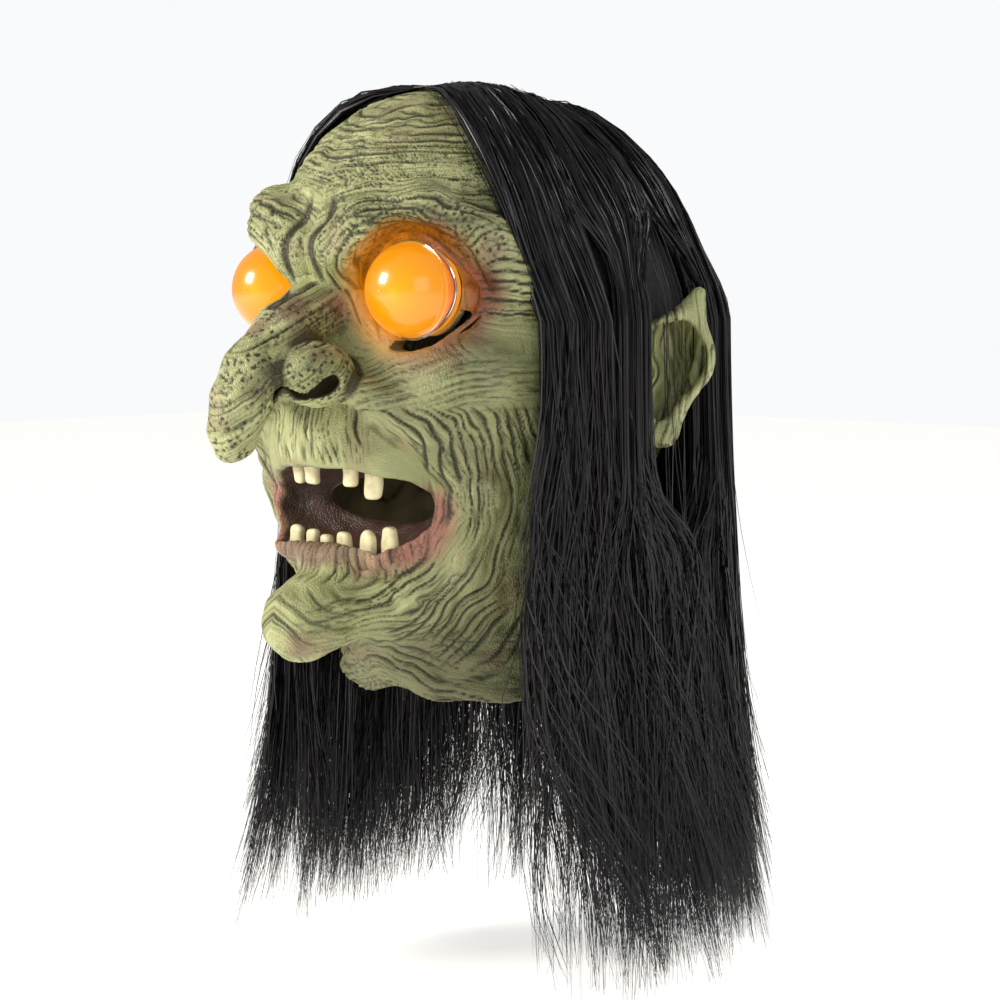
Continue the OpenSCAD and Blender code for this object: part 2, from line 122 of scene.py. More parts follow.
class MASK_PG_colours(bpy.types.PropertyGroup):
    """Paint and dye colours."""

    skin_light: colour_property("Skin, raised", "Dry-brushed pale sage on the folds", "#C6C690")
    skin_mid: colour_property("Skin", "Sage green base coat", "#80854C")
    skin_dark: colour_property("Skin, creases", "Brown-olive wash that settles in the creases", "#2F2A12")
    blush: colour_property("Blush", "Brown-pink airbrush on chin, wings of the nose and temples", "#7A5145")
    lid: colour_property("Eyelids", "Red-brown airbrush round the eyes", "#7A2A1C")
    lip: colour_property("Lips", "Dull pink of the lower lip and the corners of the mouth", "#A56A5C")
    gum: colour_property("Gums", "Brown-purple of the gums and the mouth", "#4A3228")
    tooth: colour_property("Teeth", "Stained ivory", "#E2D6A8")
    glow: colour_property("Globe glow", "Amber light through the globe", "#FF9A00")
    hair: colour_property("Hair", "Near-black fibre", "#050406")


# What the painted latex reads from each point of a mesh: the areas of paint, of painted shade and of painted
# glow, and the run of the fine lines.
MASKS = ("crease", "ridge", "lid", "lip", "gum", "blush", "painted_glow", "shade", "across", "along", "fine")


# ---------------------------------------------------------------- materials


def connect(node, inputs):
    """Sets or links each named input of a shader node."""
    for name, value in inputs.items():
        if isinstance(value, bpy.types.NodeSocket):
            node.id_data.links.new(value, node.inputs[name])
        else:
            node.inputs[name].default_value = value


def add_node(tree, kind, inputs=None, output=0, **settings):
    """Adds a shader node with its settings and inputs, and gives one of its outputs."""
    made = tree.nodes.new("ShaderNode" + kind)
    for name, value in settings.items():
        setattr(made, name, value)
    connect(made, inputs or {})
    return made.outputs[output]


def new_material(name):
    """A new material, its node tree and its Principled shader."""
    material = bpy.data.materials.new(name)
    material.use_nodes = True
    return material, material.node_tree, material.node_tree.nodes["Principled BSDF"]


def painted_latex(colours):
    """Cast natural latex, base-coated sage green, washed dark, dry-brushed pale and airbrushed.

    The wash lies in the creases and the pores, and the dry brush catches the ridges. Latex paint dries satin. A
    dark coat on the cheeks, jaw and neck is painted shade, and a glow on the latex round each globe is painted
    light from the globe.
    """
    material, tree, shader = new_material("painted_cast_latex")
    place = add_node(tree, "TexCoord", output="Object")
    # Uneven coats: soft patches of 25 mm, brush mottling of 5 mm and a stipple of 1 mm.
    patches, mottle, stipple = (
        add_node(tree, "TexNoise", {"Vector": place, "Scale": 1 / (size * MM), "Detail": detail})
        for size, detail in ((25, 3.0), (5, 4.0), (1, 2.0))
    )
    masks = {name: add_node(tree, "Attribute", output="Fac", attribute_name=name) for name in MASKS}
    # Fine lines that follow the folds: 1.5 mm apart and 16 mm long.
    across, along = (
        add_node(tree, "Math", {0: masks[name], 1: 1 / size}, operation="MULTIPLY")
        for name, size in (("across", 1.5), ("along", 16))
    )
    lines = add_node(tree, "CombineXYZ", {"X": across, "Y": along})
    streak = add_node(tree, "TexNoise", {"Vector": lines, "Scale": 1.0, "Detail": 3.0})
    speckle = add_node(tree, "MapRange", {0: stipple, 1: 0.3, 2: 0.7, 3: 0.75, 4: 1.15})
    wash = add_node(tree, "Math", {0: masks["crease"], 1: speckle}, operation="MULTIPLY")
    coat = colours.skin_mid
    for value, low, high, most, gate, colour in (
        # Each coat: what guides it, from where to where, how opaque it gets, what limits it, and its colour.
        (patches, 0.35, 0.65, 0.55, 1.0, colours.skin_light),
        (mottle, 0.42, 0.72, 0.4, 1.0, colours.skin_mid),
        (streak, 0.52, 0.7, 0.85, masks["fine"], colours.skin_light),
        (masks["ridge"], 0.2, 1.0, 0.3, 1.0, colours.skin_light),
        # Painted shade: a dark olive coat over the cheeks, jaw and neck.
        (masks["shade"], 0.0, 1.0, 0.75, 1.0, linear("#4E4E2C")),
        (masks["blush"], 0.0, 1.0, 0.75, 1.0, colours.blush),
        (masks["lid"], 0.0, 1.0, 0.95, 1.0, colours.lid),
        (masks["lip"], 0.0, 1.0, 0.9, 1.0, colours.lip),
        (masks["gum"], 0.0, 1.0, 1.0, 1.0, colours.gum),
        (streak, 0.46, 0.32, 0.8, masks["fine"], colours.skin_dark),
        (wash, 0.02, 0.45, 0.93, 1.0, colours.skin_dark),
    ):
        cover = add_node(tree, "MapRange", {0: value, 1: low, 2: high, 4: most})
        cover = add_node(tree, "Math", {0: cover, 1: gate}, operation="MULTIPLY")
        coat = add_node(tree, "Mix", {0: cover, 6: coat, 7: colour}, 2, data_type="RGBA")
    # Painted glow: the latex beside each globe gives off a little amber light, standing in for the globe's light
    # falling on the lids.
    glow = add_node(tree, "MapRange", {0: mottle, 1: 0.3, 2: 0.7, 3: 0.35, 4: 0.65})
    glow = add_node(tree, "Math", {0: masks["painted_glow"], 1: glow}, operation="MULTIPLY")
    # Skin grain pressed in by the mould: cracks about 1.4 mm apart, over the fine lines.
    grid = {"Vector": place, "Scale": 0.7 / MM}
    cracks = add_node(tree, "TexVoronoi", grid, feature="DISTANCE_TO_EDGE")
    cracks = add_node(tree, "MapRange", {0: cracks, 2: 0.25})
    ridges = add_node(tree, "Math", {0: streak, 1: masks["fine"]}, operation="MULTIPLY")
    height = add_node(tree, "Math", {0: ridges, 1: 2.2, 2: cracks}, operation="MULTIPLY_ADD")
    connect(
        shader,
        {
            "Base Color": coat,
            "Roughness": add_node(tree, "MapRange", {0: mottle, 1: 0.3, 2: 0.7, 3: 0.42, 4: 0.6}),
            "IOR": 1.5,
            "Emission Color": colours.glow,
            "Emission Strength": glow,
            "Normal": add_node(tree, "Bump", {"Strength": 0.5, "Distance": 0.5 * MM, "Height": height}),
        },
    )
    return material


def bare_latex():
    """The unpainted inside of the casting: cream-brown latex, satin, with slush marks about 12 mm across."""
    material, tree, shader = new_material("bare_slush_latex")
    place = add_node(tree, "TexCoord", output="Object")
    runs = add_node(tree, "TexNoise", {"Vector": place, "Scale": 1 / (12.5 * MM), "Detail": 4.0})
    share = add_node(tree, "MapRange", {0: runs, 1: 0.35, 2: 0.65})
    tones = {0: share, 6: linear("#5A5238"), 7: linear("#766B4B")}
    coat = add_node(tree, "Mix", tones, 2, data_type="RGBA")
    bump = add_node(tree, "Bump", {"Strength": 0.3, "Distance": 1.0 * MM, "Height": runs})
    connect(shader, {"Base Color": coat, "Roughness": 0.5, "Normal": bump})
    return material


def stained_tooth(colours):
    """Latex tooth painted ivory, satin, with brown stains about 3 mm across and a brown root."""
    material, tree, shader = new_material("painted_ivory_tooth")
    place = add_node(tree, "TexCoord", output="Object")
    stain = add_node(tree, "TexNoise", {"Vector": place, "Scale": 0.3 / MM, "Detail": 3.0})
    root = add_node(tree, "Attribute", output="Fac", attribute_name="root")
    coat = colours.tooth
    stains = ((stain, 0.5, 0.75, 0.45, "#A08A58"), (root, 0.2, 1.0, 0.8, "#6B5236"))
    for value, low, high, most, colour in stains:
        cover = add_node(tree, "MapRange", {0: value, 1: low, 2: high, 4: most})
        coat = add_node(tree, "Mix", {0: cover, 6: coat, 7: linear(colour)}, 2, data_type="RGBA")
    bump = add_node(tree, "Bump", {"Strength": 0.2, "Distance": 0.3 * MM, "Height": stain})
    connect(shader, {"Base Color": coat, "Roughness": 0.38, "Normal": bump})
    return material


def lit_globe(colours, name, centre, spot):
    """Translucent polished amber plastic with a lamp behind it: a yellow core where the lamp shows through.

    The light spreads in the wall, so the globe glows all over; the pale peach of the side away from the lamp is a
    painted reflection of the bright surroundings.
    """
    material, tree, shader = new_material(name)
    place = add_node(tree, "NewGeometry", output="Position")
    core = np.array(centre) + GLOBE_R * np.array(spot) / np.linalg.norm(spot)
    away = add_node(tree, "VectorMath", {0: place, 1: tuple(core * MM)}, "Value", operation="DISTANCE")
    ramp = add_node(tree, "ValToRGB", {"Fac": add_node(tree, "MapRange", {0: away, 2: 36 * MM})})
    stops = ramp.node.color_ramp.elements
    # From a yellow core through orange to pale peach; the peach end is a painted reflection of the bright
    # surroundings, not light from the lamp.
    stops[0].color, stops[1].color = linear("#FFCB14"), linear("#F7A04C")
    for position, value in ((0.1, "#FFBB04"), (0.35, "#FDA904"), (0.65, "#F89B14")):
        stops.new(position).color = linear(value)
    glow = add_node(tree, "Mix", {0: 0.15, 6: ramp, 7: colours.glow}, 2, data_type="RGBA")
    connect(
        shader,
        {
            "Base Color": linear("#6A3000"),
            "Roughness": 0.25,
            "IOR": 1.49,
            "Coat Weight": 0.4,
            "Coat Roughness": 0.06,
            "Emission Color": glow,
            "Emission Strength": add_node(tree, "MapRange", {0: away, 2: 34 * MM, 3: 1.0, 4: 0.8}),
        },
    )
    return material


def clear_acrylic():
    """Polished clear acrylic, faintly amber, of the rim that seats the globe: glassy and see-through."""
    material, _, shader = new_material("clear_amber_acrylic")
    connect(
        shader, {"Base Color": linear("#FFC98A"), "Roughness": 0.04, "IOR": 1.49, "Transmission Weight": 1.0}
    )
    return material


def moulded(name, value, roughness, grain_mm=0.4, metallic=0.0, bump=0.2, second=None):
    """A moulded or pressed surface with a fine even grain: eroded plastic, foam, plated or rolled metal."""
    material, tree, shader = new_material(name)
    place = add_node(tree, "TexCoord", output="Object")
    grain = add_node(tree, "TexNoise", {"Vector": place, "Scale": 1 / (grain_mm * MM), "Detail": 3.0})
    share = add_node(tree, "MapRange", {0: grain, 1: 0.35, 2: 0.65})
    tones = {0: share, 6: linear(value), 7: linear(second or value)}
    dull = {0: grain, 1: 0.3, 2: 0.7, 3: roughness - 0.06, 4: roughness + 0.06}
    relief = {"Strength": bump, "Distance": 0.1 * MM, "Height": grain}
    connect(
        shader,
        {
            "Base Color": add_node(tree, "Mix", tones, 2, data_type="RGBA"),
            "Roughness": add_node(tree, "MapRange", dull),
            "Metallic": metallic,
            "Normal": add_node(tree, "Bump", relief),
        },
    )
    return material


def wig_net():
    """Black stretch net, matt: small open cells about 2.5 mm across, with a thread round each."""
    material, tree, shader = new_material("black_stretch_net")
    place = add_node(tree, "TexCoord", output="Object")
    cells = {"Vector": place, "Scale": 1 / (2.5 * MM)}
    weave = add_node(tree, "TexVoronoi", cells, feature="DISTANCE_TO_EDGE")
    share = add_node(tree, "MapRange", {0: weave, 1: 0.05, 2: 0.2})
    tones = {0: share, 6: linear("#1C1A1E"), 7: linear("#060507")}
    coat = add_node(tree, "Mix", tones, 2, data_type="RGBA")
    bump = add_node(tree, "Bump", {"Strength": 0.6, "Distance": 0.5 * MM, "Height": weave})
    connect(shader, {"Base Color": coat, "Roughness": 0.85, "Normal": bump})
    return material


def parting_cloth():
    """Woven tape of the parting, dulled by the dark roots that are hooked through it every 1.2 mm."""
    material, tree, shader = new_material("woven_parting_tape")
    place = add_node(tree, "TexCoord", output="Object")
    knots = add_node(tree, "TexVoronoi", {"Vector": place, "Scale": 0.83 / MM})
    share = add_node(tree, "MapRange", {0: knots, 1: 0.15, 2: 0.4})
    tones = {0: share, 6: linear("#1A1716"), 7: linear("#6F6A57")}
    coat = add_node(tree, "Mix", tones, 2, data_type="RGBA")
    connect(shader, {"Base Color": coat, "Roughness": 0.8})
    return material


def wig_fibre(name, colour, roughness):
    """Modacrylic fibre: smooth and glassy, so each strand carries a narrow highlight."""
    material, _, shader = new_material(name)
    connect(shader, {"Base Color": colour, "Roughness": roughness, "IOR": 1.45})
    return material


# ---------------------------------------------------------------- mesh helpers


def put(mesh_name, points, faces, material=None, body="mask"):
    """A mesh object from points in millimetres, riding on a body."""
    mesh = bpy.data.meshes.new(mesh_name)
    faces = np.asarray(faces, np.int32)
    sides = faces.shape[1]
    mesh.vertices.add(len(points))
    mesh.vertices.foreach_set("co", (np.asarray(points, np.float32) * MM).ravel())
    mesh.loops.add(faces.size)
    mesh.loops.foreach_set("vertex_index", faces.ravel())
    mesh.polygons.add(len(faces))
    mesh.polygons.foreach_set("loop_start", np.arange(0, faces.size, sides, dtype=np.int32))
    mesh.polygons.foreach_set("loop_total", np.full(len(faces), sides, np.int32))
    mesh.update(calc_edges=True)
    mesh.validate()
    mesh.polygons.foreach_set("use_smooth", np.ones(len(mesh.polygons), bool))
    piece = bpy.data.objects.new(mesh_name, mesh)
    bpy.context.scene.collection.objects.link(piece)
    if material:
        mesh.materials.append(material)
    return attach(piece, body)


def set_attribute(piece, name, values):
    """Stores one number a point, for the material."""
    piece.data.attributes.new(name, "FLOAT", "POINT").data.foreach_set("value", values.astype(np.float32))


def vertex_normals(points, quads):
    """Unit normals of the points, from the faces round them."""
    a, b, c, d = (points[quads[:, i]] for i in range(4))
    normal = np.cross(c - a, d - b)
    total = np.zeros_like(points)
    for i in range(4):
        for axis in range(3):
            total[:, axis] += np.bincount(quads[:, i], normal[:, axis], len(points))
    return total / np.maximum(np.linalg.norm(total, axis=1, keepdims=True), 1e-9)


def surface_net(field, low, step):
    """Points and quads of the zero surface of a field sampled on a grid."""
    shape = np.array(field.shape)
    inside = field < 0
    count = np.zeros(shape - 1, np.uint8)
    for i, j, k in itertools.product((0, 1), repeat=3):
        count += inside[i : shape[0] - 1 + i, j : shape[1] - 1 + j, k : shape[2] - 1 + k]
    active = (count > 0) & (count < 8)
    cells = np.argwhere(active)
    number = np.full(active.shape, -1, np.int32)
    number[active] = np.arange(len(cells))
    total = np.zeros((len(cells), 3))
    hits = np.zeros(len(cells))
    quads = []
    for axis in range(3):
        u, v = (axis + 1) % 3, (axis + 2) % 3
        unit, eu, ev = (np.eye(3, dtype=int)[i] for i in (axis, u, v))
        for du, dv in itertools.product((0, 1), repeat=2):
            a = cells + du * eu + dv * ev
            fa, fb = field[tuple(a.T)], field[tuple((a + unit).T)]
            cross = (fa < 0) != (fb < 0)
            t = fa[cross] / (fa[cross] - fb[cross])
            total[cross] += a[cross] + t[:, None] * unit
            hits[cross] += 1
        near = tuple(slice(0, shape[i] - 1) if i == axis else slice(1, shape[i] - 1) for i in range(3))
        far = tuple(slice(1, shape[i]) if i == axis else slice(1, shape[i] - 1) for i in range(3))
        starts = np.argwhere(inside[near] != inside[far]) + (np.array([1, 1, 1]) - unit)
        corners = [starts - eu - ev, starts - ev, starts, starts - eu]
        quad = np.stack([number[tuple(c.T)] for c in corners], 1)
        flip = ~inside[tuple(starts.T)]
        quad[flip] = quad[flip][:, ::-1]
        quads.append(quad)
    return (total / hits[:, None]) * step + low, np.concatenate(quads)


# ---------------------------------------------------------------- noise


def lattice(i, j, k, seed):
    """A fixed pseudo-random number from 0 to 1 for each lattice point."""
    h = (i * 73856093) ^ (j * 19349663) ^ (k * 83492791) ^ (seed * 2654435761 & 0x7FFFFFFF)
    h = (h ^ (h >> 13)) * 1274126177 & 0x7FFFFFFFFFFF
    h = (h ^ (h >> 16)) * 668265263 & 0x7FFFFFFFFFFF
    return ((h ^ (h >> 15)) & 0xFFFFFF) / 0xFFFFFF


def noise(a, b, c, seed=0):
    """Smooth noise from 0 to 1 at the given coordinates."""
    cell = [np.floor(x).astype(np.int64) for x in (a, b, c)]
    frac = [x - n for x, n in zip((a, b, c), cell)]
    fade = [t * t * t * (t * (t * 6 - 15) + 10) for t in frac]
    total = 0
    for i, j, k in itertools.product((0, 1), repeat=3):
        weight = 1
        for bit, t in zip((i, j, k), fade):
            weight = weight * (t if bit else 1 - t)
        total = total + weight * lattice(cell[0] + i, cell[1] + j, cell[2] + k, seed)
    return total


def pits(p, spacing, radius, seed):
    """How deep each point lies in the nearest of many scattered pits, from 0 to 1."""
    q = p / spacing
    cell = np.floor(q).astype(np.int64)
    nearest = np.full(len(p), 9.0)
    for offset in itertools.product((-1, 0, 1), repeat=3):
        at = cell + np.array(offset)
        spot = np.stack([at[:, i] + lattice(at[:, 0], at[:, 1], at[:, 2], seed + i) for i in range(3)], 1)
        nearest = np.minimum(nearest, np.linalg.norm(q - spot, axis=1))
    return smooth(radius / spacing, 0.0, nearest)


def smooth(low, high, value):
    """0 at low and 1 at high, with a soft start and end."""
    t = np.clip((value - low) / (high - low), 0, 1)
    return t * t * (3 - 2 * t)


def bump_at(value, centre, width):
    """1 at the centre, falling away over the width."""
    return np.exp(-(((value - centre) / width) ** 2))


# ---------------------------------------------------------------- the head's form, in millimetres


def ellipsoid(p, centre, radii):
    """Distance to an ellipsoid, near enough for blending."""
    q = [(p[i] - centre[i]) / radii[i] for i in range(3)]
    k0 = np.sqrt(q[0] ** 2 + q[1] ** 2 + q[2] ** 2)
    k1 = np.sqrt((q[0] / radii[0]) ** 2 + (q[1] / radii[1]) ** 2 + (q[2] / radii[2]) ** 2)
    return k0 * (k0 - 1) / np.maximum(k1, 1e-6)


def rod(p, a, b, ra, rb):
    """Distance to a rod with round ends and a radius that changes along it."""
    d = np.subtract(b, a)
    t = np.clip(sum((p[i] - a[i]) * d[i] for i in range(3)) / float(d @ d), 0, 1)
    return np.sqrt(sum((p[i] - a[i] - t * d[i]) ** 2 for i in range(3))) - (ra + (rb - ra) * t)


def join(a, b, blend):
    """Two forms melted together over the blend length."""
    h = np.clip(0.5 + 0.5 * (b - a) / blend, 0, 1)
    return b + (a - b) * h - blend * h * (1 - h)


def carve(a, b, blend):
    """Form a with form b taken away, with a rounded edge."""
    return -join(-a, b, blend)


SKULL = ((0, 3, 168), (86, 102, 102))
FOREHEAD = ((0, -28, 202), (72, 82, 74))
NOSE_SPINE = (
    ((0, -98, 184), 12),
    ((0, -112, 176), 13),
    ((0, -127, 166.5), 14),
    ((0, -145, 151), 13.8),
    ((0, -153, 139), 12.6),
    ((0, -157, 128), 10.2),
    ((0, -157.5, 121.5), 8.2),
)
WING = ((18, -126, 150.5), (14, 18, 14))
CHIN = (0, -119, 43)
CHIN_R = 17.5
MOUTH = (0, -102, 92.5)


def eye_ring(p):
    """Distance to the almond-shaped line that the lids follow, and how far above the eye a point is."""
    a, b = p[0] - EYE[0], p[2] - EYE[2]
    angle = np.arctan2(b + 3, a)
    outer = np.exp(-((angle / 0.6) ** 2))
    inner = np.exp(-(((np.abs(angle) - math.pi) / 0.6) ** 2))
    low = np.exp(-(((angle + 1.25) / 0.6) ** 2))
    radius = GLOBE_R + 2.0 + 4.5 * outer + 1.5 * inner + 7.5 * low
    depth = EYE[1] + 1.0 + 15.0 * outer - 3.0 * inner - 3.0 * low
    return np.hypot(np.hypot(a, b) - radius, p[1] - depth), np.sin(angle)


def head_form(p):
    """Distance to the solid head before the eye pockets and the mouth are taken out of it."""
    d = ellipsoid(p, *SKULL)
    d = join(d, ellipsoid(p, *FOREHEAD), 10)
    d = join(d, ellipsoid(p, (0, -42, 126), (72, 70, 90)), 12)
    d = join(d, ellipsoid(p, (0, -48, 76), (58, 56, 56)), 12)
    d = join(d, ellipsoid(p, (0, -80, 117), (44, 34, 26)), 9)
    d = join(d, ellipsoid(p, (47, -74, 147), (30, 29, 26)), 12)
    d = join(d, ellipsoid(p, (EYE[0] + 11, EYE[1] + 30, EYE[2]), (22, 22, 22)), 10)
    # Smile fold from the wing of the nose, round the mouth's corner and down to the jaw.
    d = join(d, rod(p, (25, -116, 146), (50, -92, 126), 6, 9), 8)
    d = join(d, rod(p, (50, -92, 126), (61, -72, 98), 9, 9), 8)
    d = join(d, rod(p, (61, -72, 98), (50, -72, 66), 9, 8), 8)
    # Lower lip: a thick roll that rises to the corners and hangs forward in the middle.
    d = join(d, ellipsoid(p, (0, -66, 66), (44, 32, 20)), 6)
    d = join(d, rod(p, (0, -106, 70), (28, -97.5, 74.5), 8, 8), 3)
    d = join(d, rod(p, (28, -97.5, 74.5), (50, -82, 91), 8, 5), 4)
    d = join(d, rod(p, (0, -66, 62), CHIN, 24, CHIN_R), 6)
    d = join(d, rod(p, (13, -109, 202), (28, -106, 213), 11, 11.5), 8)
    d = join(d, rod(p, (28, -106, 213), (46, -91, 220), 11.5, 9.5), 8)
    d = join(d, rod(p, (46, -91, 220), (62, -68, 209), 9.5, 8), 9)
    d = join(d, rod(p, (62, -68, 209), (69, -57, 188), 7, 6), 9)
    d = join(d, rod(p, (7, -112, 204), (8, -106, 188), 7, 6), 7)
    # Socket: the brow is cut back above the globe.
    d = carve(d, ellipsoid(p, (EYE[0] + 1, EYE[1] - 10, EYE[2] + 4), (25, 15, 26)), 5)
    for (a, ra), (b, rb) in zip(NOSE_SPINE, NOSE_SPINE[1:]):
        d = join(d, rod(p, a, b, ra, rb), 4)
    d = join(d, ellipsoid(p, *WING), 6)
    # Groove over the wing of the nose, and the crease behind it.
    d = carve(d, rod(p, (12.5, -146, 159), (29, -116, 165), 1.0, 1.6), 4)
    return join(d, np.maximum(np.hypot(p[0] / 68, p[1] / 70) * 69 - 69, p[2] - 108), 14)


def slot_cut(p):
    """The crescent viewing slot that hugs the underside of each globe."""
    a, b = p[0] - EYE[0], p[2] - EYE[2]
    ring = np.abs(np.hypot(a, b) - GLOBE_R - 2.6) - 3.1
    ends = np.abs(np.arctan2(a, -b) - 0.42) * GLOBE_R - 15.0
    return np.maximum(np.maximum(ring, ends), np.abs(p[1] + 95) - 45)


def nostril_cut(p):
    """The slanted nostril hole in the side of the nose."""
    return rod(p, (10, -143, 142), (32, -128, 146.5), 3.4, 4.2)


def mouth_form(p):
    """The hollow of the open mouth: flat along the top, round below, with the lower lip before it."""
    low = ellipsoid(p, MOUTH, (52, 42, 23))
    lid = p[2] - (MOUTH[2] + 17.0 - 0.0030 * p[0] ** 2)
    d = -join(-low, -lid, 5)
    sill = 68.5 + 8.5 * smooth(-103.5, -106.5, p[1]) - p[2]
    return -join(-d, -sill, 3)


def casting(p, x, wall):
    """Distances to the outside form and to the wall of the casting, with its openings cut."""
    d = head_form(p)
    ring, above = eye_ring(p)
    d = carve(d, ring - 5.5 * smooth(-0.2, 0.5, above) - 0.5, 5)
    d = join(d, ring - 2.3 - 0.5 * above, 2.5)
    d = carve(d, np.sqrt(sum((p[i] - EYE[i]) ** 2 for i in range(3))) - (GLOBE_R + 0.9), 1.6)
    d = carve(d, mouth_form(p), 3.5)
    shell = np.maximum(d, -(d + wall))
    shell = carve(shell, slot_cut(p), 1.2)
    shell = carve(shell, nostril_cut(p), 1.4)
    throat = np.hypot(p[0] / 34, (p[2] - MOUTH[2]) / 10.5) * 15 - 15
    shell = carve(shell, np.maximum(throat, np.abs(p[1] + 50) - 46), 1.2)
    turn = np.arctan2(x, -p[1])
    rise = 4 * np.exp(-((turn / 0.8) ** 2)) + 9 * np.exp(-(((turn + 0.9) / 0.4) ** 2))
    waves = 1.5 * np.sin(turn * 7 + 1) + 1.1 * np.sin(turn * 13)
    return d, np.maximum(shell, rise + waves + 2.7 - p[2])


def sampled(low, high, step, wall):
    """The casting's wall on a grid between two corners."""
    axes = [np.arange(a, b + step, step) for a, b in zip(low, high)]
    out = np.empty([len(a) for a in axes], np.float32)
    slab = 24
    for k in range(0, len(axes[2]), slab):
        x, y, z = np.meshgrid(axes[0], axes[1], axes[2][k : k + slab], indexing="ij")
        x, y, z = (v.astype(np.float32) for v in (x, y, z))
        out[:, :, k : k + slab] = casting((np.abs(x), y, z), x, wall)[1]
    # Closed at the grid's own border, where the piece is cut off.
    for axis in range(3):
        for end in (0, -1):
            edge = [slice(None)] * 3
            edge[axis] = end
            out[tuple(edge)] = np.maximum(out[tuple(edge)], 0.2)
    return out


# ---------------------------------------------------------------- wrinkles


def streaks(across, along, width, length, seed):
    """Thin creases about one width apart that run along a direction, from 0 on the flesh to 1 in a crease."""
    zero = across * 0 + seed * 3.7
    total = 0
    for scale, weight, turn in ((1.0, 1.0, 0), (0.55, 0.6, 1)):
        wide = width * scale
        drift = 2.6 * (noise(across / (4 * wide), along / length, zero, seed + 50 * turn) - 0.5)
        phase = across / wide + drift
        line = 1 - np.abs(phase - np.floor(phase) - 0.5) / 0.2
        live = noise(across / (1.5 * wide), along / (0.55 * length), zero, seed + 50 * turn + 7)
        total = np.maximum(total, weight * np.clip(line, 0, 1) ** 1.2 * smooth(0.3, 0.62, live))
    return total


